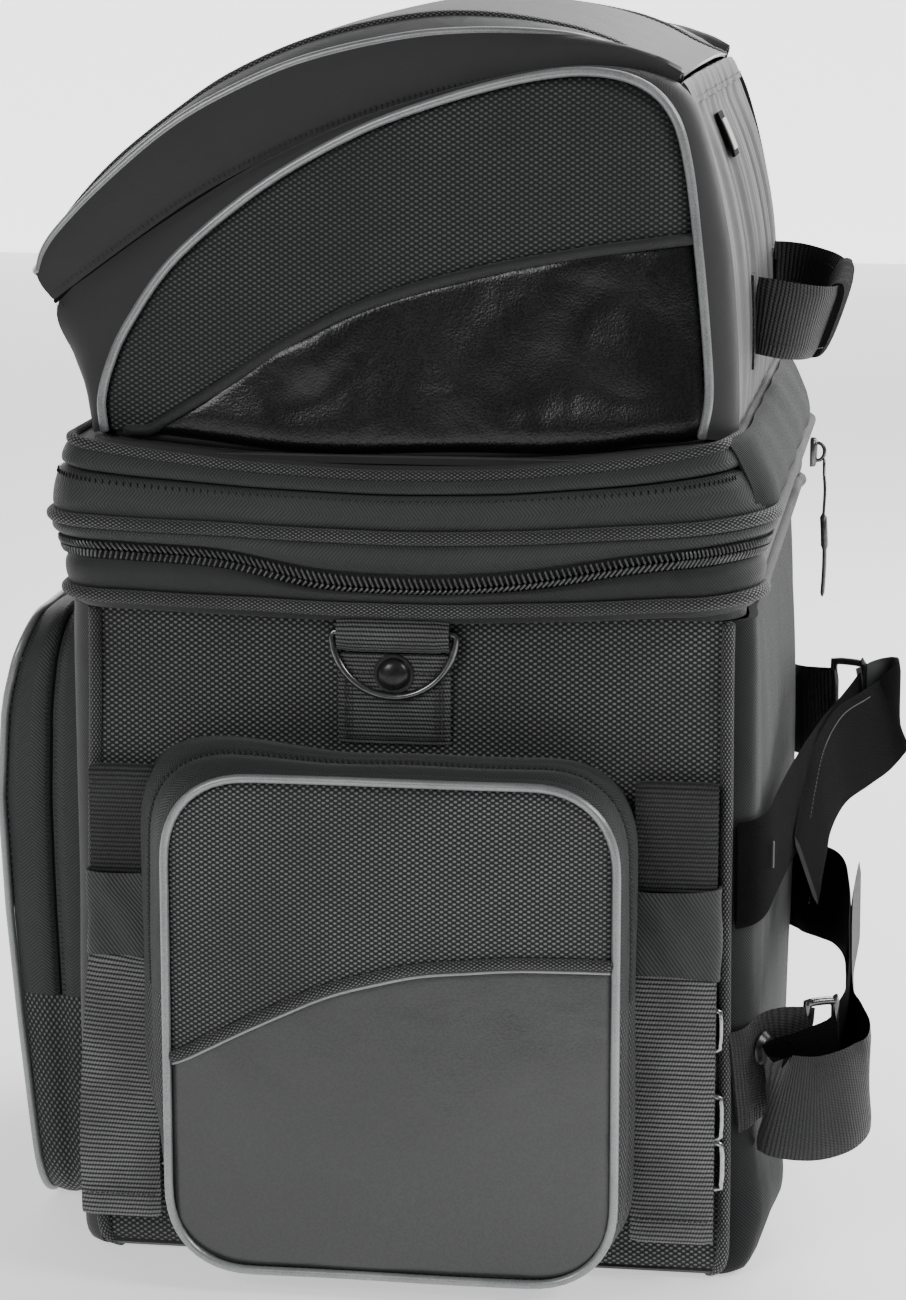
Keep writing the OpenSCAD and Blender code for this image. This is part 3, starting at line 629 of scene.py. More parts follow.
# main lid
g = Geo()
prof = [(-7, 370.4), (-4.6, 370.6), (-3.4, 371.6), (-3.5, 373.2), (-4.6, 375.8), (-6.2, 378.6), (-8.2, 380.8), (-11, 382.0)]
g.shell(band_ring(cr(prof, 18), front_in=FRONT_IN), 2.0, "twill_herring", "lining", cu=True)
g.build("lid_band_cloth", "main_lid", "twill", ["lid_band"], padded=0.4)
g = Geo()
g.tube(band_line(-8.2, 381.6, front_in=FRONT_IN), 2.7, "piping", closed=True, sides=12)
g.build("top_piping_cord", "main_lid", "black_piping", ["top_piping"])
g = Geo()
edge = band_line(-9.5, 382.2, 5, front_in=FRONT_IN)
c = arr(0, 0)
ts = [1.0, 0.985, 0.95, 0.9, 0.8, 0.65, 0.5, 0.3, 0.15, 0.0006]
P = []
for t in ts:
    x = edge[:, 0] * t; y = edge[:, 1] * t
    z = edge[:, 2] * t ** 5 + 385.4 * (1 - t ** 5)
    P.append(np.stack([x, y, z], -1))
P = np.stack(P, 1)
g.shell(P, 2.5, "twill", "lining", cu=True)
g.build("lid_top_cloth", "main_lid", "ballistic", ["lid_panel"])
# the reverse coil zip between the expansion band and the lid
g = Geo()
zl = band_line(-2.1, 369.9, 1.6, front_in=FRONT_IN)
keep = zl[:, 0] < 148
zl2 = zl[keep]
up = np.tile(arr(0, 0, 1.0), (len(zl2), 1))
P0, N0 = rrpath(164, 188, 22, 1.6, 38)
k2 = np.arange(len(zl2)) % 2 == 0
for q_, n_ in zip(zl2[k2], N0[keep][k2]):
    a_ = q_ - arr(0, 0, 2.0) + np.r_[n_ * .5, 0]
    g.tube([a_, a_ - arr(0, 0, 1.0), a_ - arr(0, 0, 2.0) + np.r_[n_ * .5, 0]], [.2, .32, .2], "groove", sides=4, cap=False)
g.build("main_zip_stitching", "expansion", "zip_coil")
g = Geo()
g.tube(band_line(-6.4, 369.2, front_in=FRONT_IN), 0.9, "tape", closed=True, sides=8)
g.build("main_zip_groove", "expansion", "zip_coil")
g = Geo()
zm_ = band_line(-6.2, 370.9, 3, front_in=FRONT_IN)
k_ = zm_[:, 0] < 149
idx_ = np.where(k_)[0]
brk = int(np.argmax(np.diff(idx_) > 1)) + 1 if (np.diff(idx_) > 1).any() else 0
zm_ = np.vstack([zm_[idx_[brk:]], zm_[idx_[:brk]]]) if brk else zm_[idx_]
g.tube(zm_, 0.75, "groove", sides=6)
g.build("main_zip_centre", "main_lid", "zip_coil")
# hinge cloth at the front, joined to both the expansion band and the lid
g = Geo()
Y = np.linspace(-173, 173, 72)
prof = cr([(163.6, 351.5), (164.2, 354), (163.4, 358), (161.6, 363), (158.6, 369), (155.2, 375), (152.2, 380), (149.6, 383.0)], 22)
P = np.zeros((len(Y), len(prof), 3))
for i, y in enumerate(Y):
    e = smooth01(abs(y), 140, 173)
    f = 1 - e
    q_ = max(abs(y) - 150.0, 0.0)
    P[i, :, 0] = prof[:, 0] + 1.6 * f - (38 - math.sqrt(38 ** 2 - q_ ** 2)) + 0.5 * np.sin(y * .09 + prof[:, 1] * .1) * f
    P[i, :, 1] = y
    P[i, :, 2] = prof[:, 1]
P[..., 2] += dz(P[..., 0], P[..., 2]) + 0.4
g.shell(P, 1.6, "front", "lining", UV=P[..., 1:], flip=False)
g.build("lid_hinge_cloth", "main_lid", "twill", blend=("expansion", "main_lid", (0, 0, 360), (0, 0, 378)))
# seams where the lid's zip ends, near the front corners
for s, nm in ((-1, "right"), (1, "left")):
    g = Geo()
    lb = band_ring(cr([(-4.4, 370.9), (-3.2, 371.8), (-3.4, 373.2), (-4.4, 375.8), (-6.0, 378.6), (-8.0, 380.8)], 12), 3, FRONT_IN)
    ok = (lb[:, 4, 0] > 0) & (lb[:, 4, 1] * s > 0)
    ii_ = int(np.argmin(np.where(ok, np.abs(lb[:, 4, 0] - 148.5), 1e9)))
    g.tube(lb[ii_] + arr(.3, s * .3, 0), 0.8, "groove", sides=6)
    g.build("lid_zip_end_" + nm, "main_lid", "twill")

# ------------------------------------------------------------------ pockets
def pocket_xf(where):
    if where == "right":
        return (lambda P: np.stack([P[..., 0], -176 - P[..., 1], P[..., 2]], -1)), False
    if where == "left":
        return (lambda P: np.stack([P[..., 0], 176 + P[..., 1], P[..., 2]], -1)), True
    return (lambda P: np.stack([-156 - P[..., 1], -P[..., 0], P[..., 2]], -1)), False

def outline(x0, x1, z0, z1, r, n_side=24, n_arc=12, pw=2.3):
    """Rounded outline, anticlockwise from the bottom middle as seen from outside."""
    pts = []
    def corner(cx, cz, a0):
        for i in range(n_arc):
            a = a0 + math.pi / 2 * i / n_arc
            c_, s_ = math.cos(a), math.sin(a)
            pts.append((cx + r * np.sign(c_) * abs(c_) ** (2 / pw), cz + r * np.sign(s_) * abs(s_) ** (2 / pw)))
    def line(a, b, n):
        for i in range(n):
            pts.append((a[0] + (b[0] - a[0]) * i / n, a[1] + (b[1] - a[1]) * i / n))
    xm = (x0 + x1) / 2
    line((xm, z0), (x1 - r, z0), n_side // 2); corner(x1 - r, z0 + r, -math.pi / 2)
    line((x1, z0 + r), (x1, z1 - r), n_side); corner(x1 - r, z1 - r, 0)
    line((x1 - r, z1), (x0 + r, z1), n_side); corner(x0 + r, z1 - r, math.pi / 2)
    line((x0, z1 - r), (x0, z0 + r), n_side); corner(x0 + r, z0 + r, math.pi)
    line((x0 + r, z0), (xm, z0), n_side // 2)
    return np.array(pts, float)

def build_pocket(where, o, depth, fold, div, names, nodes, low_mat, up_mat, crown, flare, dk=lambda z: 1.0 + 0 * z):
    """o = (x0, x1, z0, z1, r). div(x) is the height of the divider; names give the flap body."""
    xf, mir = pocket_xf(where)
    x0, x1, z0, z1, r = o
    flap_body, tag = names
    lo_node, fl_node, gu_node = nodes
    if where == "rear":
        bl = ("case", flap_body, (-206, 0, fold - 12), (-206, 0, fold + 13))
    else:
        sy = -1 if where == "right" else 1
        bl = ("case", flap_body, (0, sy * 226, fold - 12), (0, sy * 226, fold + 13))
    pw = 2.3
    def top(x):
        d = np.clip(np.maximum((x0 + r) - x, x - (x1 - r)), 0, r) / r
        return z1 - r + r * np.clip(1 - d ** pw, 0, 1) ** (1 / pw)
    def bot(x):
        d = np.clip(np.maximum((x0 + r) - x, x - (x1 - r)), 0, r) / r
        return z0 + r - r * np.clip(1 - d ** pw, 0, 1) ** (1 / pw)
    xm, xh = (x0 + x1) / 2, (x1 - x0) / 2
    zm, zh = (z0 + z1) / 2, (z1 - z0) / 2
    def face_y(x, z):
        u = np.clip(np.abs((x - xm) / xh), 0, 1); v = np.clip(np.abs((z - zm) / zh), 0, 1)
        edge = np.minimum(x1 - x, x - x0)
        return depth * dk(z) - 1.8 + crown * (1 - u ** 2.6) * (1 - v ** 3.0) + wob(x * 1.6, 5, z * 1.5, 0.5)
    # columns, packed towards the side edges
    tt = np.linspace(0, 1, 64)
    X = xm + xh * 0.992 * np.sin((tt - .5) * math.pi) * .55 + xh * .992 * (2 * tt - 1) * .45
    dv = div(X)
    for part in ("low", "up"):
        nz = 52
        s = np.linspace(0, 1, nz)
        if part == "low":
            a, b = bot(X) + 2.0, np.maximum(dv - 1.2, bot(X) + 3)
        else:
            a, b = dv + 1.2, top(X) - 2.0
        Z = a[:, None] + (b - a)[:, None] * s[None]
        XX = np.repeat(X[:, None], nz, 1)
        D = face_y(XX, Z)
        # tuck under the edge piping and towards the divider
        de = np.minimum(np.minimum(top(XX) - Z, Z - bot(XX)), np.minimum(x1 - XX, XX - x0))
        D = D - 1.6 * np.exp(-((np.maximum(de, 0) - 1.5) / 2.2) ** 2) - 1.3 * np.exp(-((Z - div(XX)) / 2.4) ** 2)
        P = np.stack([XX, D, Z], -1)
        g = Geo()
        g.shell(xf(P), 2.2, low_mat if part == "low" else up_mat, "lining", UV=np.stack([XX, Z], -1), flip=mir)
        g.build(f"{tag}_{'lower' if part == 'low' else 'upper'}_face", "case", "leatherette" if part == "low" else "ballistic",
                [lo_node] if part == "low" else [fl_node], blend=bl, padded=0.6)
    # divider piping
    Xd = np.linspace(x0 + 2.5, x1 - 2.5, 60)
    Zd = div(Xd)
    dl = xf(np.stack([Xd, face_y(Xd, Zd) + 0.2, Zd], -1))
    g = Geo()
    g.tube(dl, 2.6, "piping", sides=10)
    if where != "rear":
        dl2 = xf(np.stack([Xd, face_y(Xd, Zd - 3.4) - 0.1, Zd - 3.4], -1))
        g.tube(dl2, 0.9, "silver", sides=8)
    g.build(f"{tag}_divider_piping", "case", "black_piping", blend=bl)
    # edge piping
    ol = outline(x0, x1, z0, z1, r)
    g = Geo()
    yd = face_y(ol[:, 0] * .985 + xm * .015, ol[:, 1] * .985 + zm * .015)
    el = xf(np.stack([ol[:, 0], depth * dk(ol[:, 1]) - 1.6 + 0.5 * np.sin(ol[:, 0] * .05), ol[:, 1]], -1))
    g.tube(el, 2.05, "silver", closed=True, sides=12)
    g.build(f"{tag}_edge_piping", "case", "silver_piping", blend=bl)
    # gusset: rows from the face edge to the case, split at the zip
    half = depth / 2 - 1
    cx, cz = xm, zm
    def gusset_rows(depths, offs):
        rows = []
        for d, of in zip(depths, offs):
            q = ol.copy()
            dirx = np.sign(q[:, 0] - cx) * smooth01(np.abs(q[:, 0] - cx), 20, xh)
            dirz = np.sign(q[:, 1] - cz) * smooth01(np.abs(q[:, 1] - cz), 30, zh)
            fl = flare(q[:, 0], q[:, 1], d / depth)
            w = 0.6 * np.sin(q[:, 1] * .07 + d * .1) + 0.5 * np.sin(q[:, 0] * .09 + 1)
            q[:, 0] += dirx * (of + fl + w * .5)
            q[:, 1] += dirz * (of + fl * .55 + w * .5) * np.where(q[:, 1] < cz, 0.35, 1)
            rows.append(np.stack([q[:, 0], d * dk(q[:, 1]), q[:, 1]], -1))
        return np.stack(rows, 1)
    z_end = fold + 2
    up_mask = ol[:, 1] >= z_end
    i0 = np.argmax(up_mask)                       # outline goes up the +x side first
    i1 = len(up_mask) - 1 - np.argmax(up_mask[::-1])
    upi = np.arange(i0, i1 + 1)
    loi = np.r_[np.arange(i1, len(ol)), np.arange(0, i0 + 1)]
    dep_o = [depth - 3.6, depth - 5.5, depth - 10, depth - 16, half + 5, half + 1.6, half + 0.9]
    off_o = [-1.8, 0.2, 1.8, 2.8, 2.6, 1.6, 0.6]
    dep_i = [half - 0.2, half - 1.2, half - 5, half * .55, half * .3, 4.0, 1.2]
    off_i = [0.6, 1.8, 3.0, 3.4, 2.6, 1.8, 1.6]
    R = gusset_rows(dep_o, off_o)
    g = Geo(); g.shell(xf(R[upi]), 1.6, "twill_herring", "lining", flip=not mir)
    g.build(f"{tag}_outer_gusset", "case", "twill", blend=bl, padded=0.4)
    R = gusset_rows(dep_i, off_i)
    g = Geo(); g.shell(xf(R[upi]), 1.6, "twill_herring", "lining", flip=not mir)
    g.build(f"{tag}_inner_gusset", "case", "twill", [] if gu_node is None else [gu_node], padded=0.4)
    R = gusset_rows(dep_o[:-1] + [half + .2] + dep_i[1:], off_o[:-1] + [2.0] + off_i[1:])
    g = Geo(); g.shell(xf(R[loi]), 1.6, "ballistic", "lining", flip=not mir)
    g.build(f"{tag}_lower_gusset", "case", "ballistic", padded=0.4)
    # zip line and its stitching
    zr = gusset_rows([half + 0.3], [1.2])[:, 0][upi]
    zl = cr(xf(zr), step=2.6)
    g = Geo()
    g.tube(cr(xf(gusset_rows([half + 0.3], [0.2])[:, 0][upi]), step=4), 1.0, "groove", sides=6)
    g.build(f"{tag}_zip_line", "case", "zip_coil")
    g = Geo()
    zo = cr(xf(gusset_rows([half + 3.4], [2.9])[:, 0][upi]), n=len(zl)); zi = cr(xf(gusset_rows([half - 2.8], [2.9])[:, 0][upi]), n=len(zl))
    for p, q in zip(zl, zo):
        d = (q - p) / np.linalg.norm(q - p)
        g.tube([p + d * 1.3, p + d * 2.5, p + d * 3.6], [.2, .3, .2], "thread", sides=4, cap=False)
    g.build(f"{tag}_zip_stitching_outer", "case", "zip_coil", blend=bl)
    g = Geo()
    for p, q in zip(zl, zi):
        d = (q - p) / np.linalg.norm(q - p)
        g.tube([p + d * 1.3, p + d * 2.5, p + d * 3.6], [.2, .3, .2], "thread", sides=4, cap=False)
    g.build(f"{tag}_zip_stitching_inner", "case", "zip_coil")

side_div = lambda x: np.interp(x, [-104, -97, -64, -27, 13, 58, 94, 104], [109, 113, 131, 149, 159.5, 163.5, 163, 162])
def side_div_s(x):
    k = np.linspace(-3, 3, 13)
    return sum(side_div(np.asarray(x, float) + a * 4) for a in k) / len(k)
def side_flare(x, z, s):
    return (1 - s) * (17 * smooth01(-x, 20, 104) * smooth01(z, 25, 110) + 3.5)
for where in ("right", "left"):
    build_pocket(where, (-103, 101, 11.5, 242.5, 40), 50, 135, side_div_s, ("side_flap_" + where, "side_pocket_" + where),
                 ("side_pocket_lower_" + where, "side_pocket_flap_" + where, "side_pocket_gussets"), "leather_pocket", "ballistic_pocket", 6.0, side_flare)
rear_div = lambda x: 150 + 0 * np.asarray(x, float)
rear_dk = lambda z: np.interp(z, [-5, 39, 95, 150, 205, 250, 272, 292], [.68, .78, .89, .98, 1.03, .97, .86, .72])
build_pocket("rear", (-121, 121, 2, 292, 27), 50, 101, lambda x: 165 - 14 * (np.asarray(x, float) / 120) ** 2, ("rear_flap", "rear_pocket"),
             ("rear_pocket_lower", "rear_pocket_flap", "rear_pocket_gusset"), "leather_pocket", "ballistic_pocket", 4.0, lambda x, z, s: (1 - s) * 2, rear_dk)
# the two side pockets and the rear one share one CAD node of edge piping
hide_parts("pocket_piping_lower")

# ------------------------------------------------------------------ ribbons (webbing)
def ribbon(g, path, width_dir, width, t, mat, mat_in=None, out=None, edge_round=True):
    """Webbing along path; width_dir is one vector or one per point. UV: along the length, across the width."""
    P = np.asarray(path, float)
    W = np.broadcast_to(np.asarray(width_dir, float), P.shape).copy()
    T = np.gradient(P, axis=0); T /= np.maximum(np.linalg.norm(T, axis=1, keepdims=True), 1e-9)
    W = W - (W * T).sum(1, keepdims=True) * T
    W /= np.linalg.norm(W, axis=1, keepdims=True)
    N = np.cross(T, W)
    w = np.broadcast_to(np.asarray(width, float), (len(P),)) / 2
    k = 9
    c = np.linspace(-1, 1, k)
    L = arclen(P)
    prof = np.sqrt(np.clip(1 - (np.abs(c) ** 8), 0, 1)) * .5 + .0
    A = P[:, None] + W[:, None] * (c[None, :, None] * w[:, None, None])
    top = A + N[:, None] * (t * prof)[None, :, None]
    bot = A - N[:, None] * (t * prof)[None, :, None]
    UV = np.stack([np.repeat(L[:, None], k, 1), c[None] * w[:, None]], -1)
    g.grid(top, mat, UV)
    g.grid(bot, mat_in or mat, UV, flip=True)
    g.grid(np.stack([top[0], bot[0]], 0), mat, None)
    g.grid(np.stack([top[-1], bot[-1]], 0), mat, None)
    return g

def boxstitch(g, c, u, v, w, h, mat="thread", x=True, pitch=2.6, r=0.26):
    """A stitched rectangle with a cross."""
    c, u, v = np.asarray(c, float), np.asarray(u, float), np.asarray(v, float)
    P = [c + u * a * w / 2 + v * b * h / 2 for a, b in ((-1, -1), (1, -1), (1, 1), (-1, 1))]
    for i in range(4):
        stitches(g, [P[i], P[(i + 1) % 4]], mat, pitch, pitch * .75, r)
    if x:
        stitches(g, [P[0], P[2]], mat, pitch, pitch * .75, r); stitches(g, [P[1], P[3]], mat, pitch, pitch * .75, r)

# D-ring tabs, rings, rivets
def dring_side():
    g = Geo()
    xw = arr(1, 0, 0)
    # patch, lying on the side cloth, and the loop over the bar
    pts = cr([(-5, -180.2, 250.5), (-5, -180.9, 256), (-5, -181.1, 270), (-5, -181.0, 286), (-5, -181.4, 292)], 20)
    ribbon(g, pts, xw, 51.5, 1.9, "web_side")
    pts = cr([(-5, -182.6, 294.0), (-5, -184.4, 295.2), (-5, -186.4, 297.5), (-5, -187.4, 301), (-5, -187.0, 304.5), (-5, -185.0, 308), (-5, -182.4, 311), (-5, -180, 314)], 26)
    ribbon(g, pts, xw, 51.5, 1.9, "web_side")
    boxstitch(g, (-5, -182.25, 268.5), (1, 0, 0), (0, 0, 1), 44, 30, "thread_light", False)
    stitches(g, [arr(-26, -182.2, 253.5), arr(16, -182.2, 253.5)], "thread_light", 2.4, 1.8, .24)
    for k in range(3):
        stitches(g, [arr(-27.5 + k * 1.7, -182.15, 254), arr(-27.5 + k * 1.7, -182.15, 284)], "thread", 2.4, 1.8, .24)
        stitches(g, [arr(17.5 - k * 1.7, -182.15, 254), arr(17.5 - k * 1.7, -182.15, 284)], "thread", 2.4, 1.8, .24)
    return g
dring_side().build("dring_tab_right", "case", "webbing", ["dring_tabs"])
dring_side().mirror().build("dring_tab_left", "case", "webbing")

def dring():
    g = Geo()
    R = 28.25
    pts = []
    for a in np.linspace(180, 360, 48):
        pts.append(arr(-5 + R * math.cos(math.radians(a)), -182 - 1.6 * math.sin(math.radians(a - 180)), 301 + R * math.sin(math.radians(a))))
    bar = [arr(-5 + R - 1, -182, 301.8), arr(-5 + R - 4, -182, 302.0)] + [arr(x, -182, 302.0) for x in np.linspace(-5 + R - 8, -5 - R + 8, 12)] + [arr(-5 - R + 4, -182, 302.0), arr(-5 - R + 1, -182, 301.8)]
    g.tube(np.array(pts + bar), 1.8, "metal", closed=True, sides=14)
    return g
dring().build("dring_wire_right", "dring_right", "dark_metal", ["dring_right"])
dring().mirror().build("dring_wire_left", "dring_left", "dark_metal", ["dring_left"])

def turned(g, prof, centre, axis, mat, n=36):
    """A round piece from a (radius, height) profile about an axis."""
    ax = np.asarray(axis, float); ax /= np.linalg.norm(ax)
    u = np.cross(ax, arr(0, 0, 1)) if abs(ax[2]) < .9 else arr(1, 0, 0)
    u /= np.linalg.norm(u); v = np.cross(ax, u)
    th = np.arange(n) / n * TAU
    prof = np.asarray(prof, float)
    P = np.asarray(centre, float) + prof[None, :, 0, None] * (np.cos(th)[:, None, None] * u + np.sin(th)[:, None, None] * v) + prof[None, :, 1, None] * ax
    g.grid(P, mat, None, cu=True)
rv = [(0.02, -0.6), (8.6, -0.6), (9.2, 0.2), (9.0, 0.9), (8.2, 1.1), (7.6, 0.9), (7.3, 1.3), (7.0, 2.2), (6.2, 3.2), (4.6, 4.0), (2.4, 4.5), (0.02, 4.6)]
g = Geo()
turned(g, rv, (-5, -182.2, 283.2), (0, -1, 0), "rivet")
turned(g, rv, (-5, 182.2, 283.2), (0, 1, 0), "rivet")
g.build("dring_rivets", "case", "dark_metal", ["rivets"])

# tie-down straps
def tie_side(x0, tagx):
    cx = x0 + 19
    k = Geo()
    xw = arr(1, 0, 0)
    # sewn upper loop
    pts = cr([(cx, -181.0, 236.5), (cx, -183.6, 235.5), (cx, -184.6, 230), (cx, -184.2, 218), (cx, -183.6, 204), (cx, -184.4, 190), (cx, -184.6, 182)], 26)
    ribbon(k, pts, xw, 37.6, 1.8, "web_loop")
    pts = cr([(cx, -180.4, 234), (cx, -181.6, 222), (cx, -181.4, 206), (cx, -182.0, 188)], 12)
    ribbon(k, pts, xw, 37.0, 1.6, "web_dark")
    stitches(k, [arr(cx - 16, -185.3, 229), arr(cx + 16, -185.3, 229)], "thread", 2.4, 1.8, .25)
    # keeper tape wrapped over the strap
    Z = np.linspace(148, 187, 22)
    ss = cr([(cx - 20.5, -179.5), (cx - 20.8, -183.5), (cx - 19.6, -187.0), (cx - 14, -188.4), (cx, -188.8), (cx + 14, -188.4), (cx + 19.8, -187.0), (cx + 21, -183.5), (cx + 20.6, -179.5)], 26)
    P = np.zeros((len(ss), len(Z), 3))
    for j, z in enumerate(Z):
        f = (z - 148) / 39
        P[:, j, 0] = ss[:, 0] + 0.5 * math.sin(z * .2)
        P[:, j, 1] = ss[:, 1] - 0.8 * math.sin(f * math.pi) + 0.35 * np.sin(ss[:, 0] * .3 + z * .15)
        P[:, j, 2] = z + 0.04 * (ss[:, 0] - cx) * (1 if f > .5 else -1) + 1.2 * ((ss[:, 0] - cx) / 20) ** 2 * (1 if f > .5 else -1)
    k.shell(P, 1.3, "keeper", "web_dark")
    # hanging strap: two layers ending in a folded tail, with the buckle behind
    h = Geo()
    sx = -6.5 if x0 < 0 else 0
    pts = cr([(cx, -185.6, 150), (cx + sx * .2, -186.4, 143), (cx + sx * .5, -187.6, 120), (cx + sx * .8, -188.2, 90), (cx + sx, -188.2, 60), (cx + sx, -187.4, 36), (cx + sx, -186.8, 24), (cx + sx, -185.4, 21), (cx + sx, -184.0, 24), (cx + sx, -184.0, 60), (cx + sx * .7, -184.2, 100), (cx + sx * .3, -184.0, 146)], 110)
    ribbon(h, pts, xw, 38.0, 1.8, "web")
    for zz in (40, 43):
        stitches(h, [arr(cx + sx - 16, -188.6, zz - 8), arr(cx + sx + 16, -188.6, zz - 8)], "thread", 2.4, 1.8, .25)
    # ladder buckle
    ps = 1 if x0 > 0 else -1
    bx0 = x0 + (4 if x0 > 0 else -4)
    def frame_wire(za, zb, xa, xb, r):
        c = cr([(xa + 3, -180.8, za), (xb - 3, -180.8, za), (xb, -181.0, za + 3), (xb + .4, -181.2, (za + zb) / 2), (xb, -181.0, zb - 3), (xb - 3, -180.8, zb), (xa + 3, -180.8, zb), (xa, -180.8, zb - 3), (xa, -180.8, za + 3)], 60, closed=True)
        h.tube(c, r, "bright", closed=True, sides=8)
    frame_wire(46, 68, bx0 + 2, bx0 + 36.6, 1.7)
    frame_wire(70, 90, bx0 + 2, bx0 + 36.2, 1.6)
    frame_wire(112, 131, bx0 + 2, bx0 + 35.4, 1.5)
    return k, h
for x0, tagx in ((105, "front"), (-147, "rear")):
    k, h = tie_side(x0, tagx)
    k.build("tie_loop_right_" + tagx, "case", "webbing", ["tie_strap_loops"] if tagx == "front" else [])
    h.build("tie_webbing_right_" + tagx, "tie_right_" + tagx, "webbing", ["tie_strap_right_" + tagx])
    k.mirror().build("tie_loop_left_" + tagx, "case", "webbing")
    h.mirror().build("tie_webbing_left_" + tagx, "tie_left_" + tagx, "webbing", ["tie_strap_left_" + tagx])

# ------------------------------------------------------------------ backrest straps
def bar_straps():
    up = arr(0, 0, 1)
    out = {}
    # upper: sewn at the right, running to the ring at the left
    g = Geo()
    pts = cr([(150.6, -176.2, 193), (155.4, -171.8, 193), (160.0, -163, 193), (163.4, -147, 193.5), (165.6, -120, 195), (168.6, -85, 197), (172.4, -50, 199), (176.6, -15, 200.5), (181.0, 20, 201.5), (186.0, 60, 201), (190.6, 100, 200.5), (193.4, 128, 200), (195.0, 137.5, 200)], 100)
    ribbon(g, pts, up, 49.5, 2.0, "loop")
    tq = np.linspace(0, TAU, 24, endpoint=False)
    ov = np.stack([np.full(24, 165.6), -147.5 + 3.2 * np.cos(tq), 196.5 + 6.0 * np.sin(tq)], 1)
    g.tube(ov, 0.45, "strap", closed=True, sides=5)
    out["ub"] = g
    g = Geo()
    key = [(198.4, 140.2, 203), (206, 143.8, 205.5), (212.6, 143.2, 207.4), (215.2, 138, 208), (214.0, 131, 206), (209.0, 120, 200.5), (199.2, 85, 200), (188.4, 40, 200.5), (181.8, -10, 195), (178.8, -38, 181), (177.0, -62, 167)]
    kw = [(0, 0, 1), (0, 0, 1), (0, 0, 1), (0, 0, 1), (-.04, 0, 1), (-.12, 0, 1), (-.12, 0, 1), (-.12, 0, 1), (-.14, 0, 1), (-.18, -.12, 1), (-.21, -.22, 1)]
    pw = cr(np.hstack([np.array(key), np.array(kw)]), 96)
    pts, wd = pw[:, :3], pw[:, 3:]
    width = np.full(96, 49.5); width[-3:] = [49.0, 48.4, 47.4]
    ribbon(g, pts, wd, width, 2.0, "strap", "loop")
    L0 = pts[30:93]
    stitches(g, L0 + arr(0.9, 0, 21.5), "thread", 3.0, 2.0, .25)
    stitches(g, L0 + arr(0.9, 0, -21.5), "thread", 3.0, 2.0, .25)
    out["uf"] = g
    # tab at the left that holds the ring
    g = Geo()
    pts = cr([(150.8, 176.2, 198), (155.6, 171.4, 198), (160.4, 163, 198.5), (165.4, 157, 199), (172.6, 152.6, 199.6), (179.2, 149.6, 200), (182.2, 147.2, 200), (181.2, 144.4, 200), (175, 146.2, 199.6), (168, 150.4, 199), (164.6, 154.4, 198.5)], 54)
    ribbon(g, pts, up, 48.5, 1.9, "web_dark")
    boxstitch(g, (169.4, 155.6, 199.4), (0.83, -0.55, 0), (0, 0, 1), 9, 38, "thread", True)
    out["ut"] = g
    return out
def rect_ring(g, a, b, z0, z1, r, mat):
    a, b = arr(*a), arr(*b)
    mid_ = (a + b) / 2
    h = (b - a) / 2
    pts = []
    k = 3.0
    L = np.linalg.norm(h)
    u = h / L
    q = [(L, z0 + k), (L, z1 - k), (L - .35 * k, z1 - .3 * k), (L - k, z1), (-L + k, z1), (-L + .35 * k, z1 - .3 * k), (-L, z1 - k), (-L, z0 + k), (-L + .35 * k, z0 + .3 * k), (-L + k, z0), (L - k, z0), (L - .35 * k, z0 + .3 * k)]
    P = np.array([[mid_[0] + u[0] * s, mid_[1] + u[1] * s, z] for s, z in q])
    g.tube(cr(P, 90, closed=True), r, mat, closed=True, sides=10)
bs = bar_straps()
bs["ub"].build("upper_strap_webbing", "case", "hook_loop", ["upper_strap_base"])
bs["uf"].build("upper_strap_tongue", "upper_flap", "hook_loop", ["upper_strap_flap"])
bs["ut"].build("upper_ring_tab", "case", "hook_loop", ["strap_ring_tabs"])
g = Geo()
rect_ring(g, (180.5, 146.6), (196.4, 139.8), 171, 229, 2.0, "metal")
g.build("upper_strap_ring", "case", "dark_metal", ["strap_rings"])
# lower strap: sewn at the left, ring at the right, so it crosses the upper one
g = Geo()
up = arr(0, 0, 1)
pts = cr([(195.8, -137.5, 98), (199.2, -120, 102), (199.4, -90, 107), (198.0, -60, 113.5), (196.6, -20, 121.5), (193.4, 20, 125), (187, 55, 122.5), (178, 82, 118.5), (168.5, 120, 110.5), (163.6, 150, 104), (160.0, 163, 101.5), (155.4, 171.8, 100.5), (150.6, 176.2, 100)], 100)
ribbon(g, pts, up, 49.5, 2.0, "loop")
g.build("lower_strap_webbing", "case", "hook_loop", ["lower_strap_base"])
g = Geo()
key = [(197.6, -141.6, 97), (192.5, -149.5, 94.5), (182.5, -156.6, 91), (173, -160.4, 88.5), (166.6, -164.6, 87), (168.6, -169.4, 84.5), (178.5, -169.6, 82.5), (190.5, -166.4, 82), (202.5, -159.2, 84.5), (209.6, -149, 88), (210.4, -139.5, 92), (206.2, -124, 96), (202.0, -104, 97.5), (199.6, -60, 108), (198.4, -10, 119), (199.6, 38, 124)]
pts = cr(key, 110)
width = np.full(110, 50.0); width[-3:] = [49.4, 48.6, 47]
ribbon(g, pts, up, width, 2.0, "web_soft", "loop")
for k in (20.5, 18.5, -18.5, -20.5):
    stitches(g, pts[34:66] + arr(0.3, -1.3, k), "thread", 2.8, 2.0, .24)
g.build("lower_strap_tongue", "lower_flap", "hook_loop", ["lower_strap_flap"])
g = Geo()
pts = cr([(150.8, -176.2, 95), (155.6, -171.4, 96), (160.4, -163, 98), (165.4, -157, 100), (172.6, -152.6, 101), (179.2, -149.6, 100), (182.2, -147.2, 99), (181.2, -144.4, 99), (175, -146.2, 99), (168, -150.4, 98.5), (164.6, -154.4, 98)], 54)
ribbon(g, pts, up, 49.0, 1.9, "web_dark")
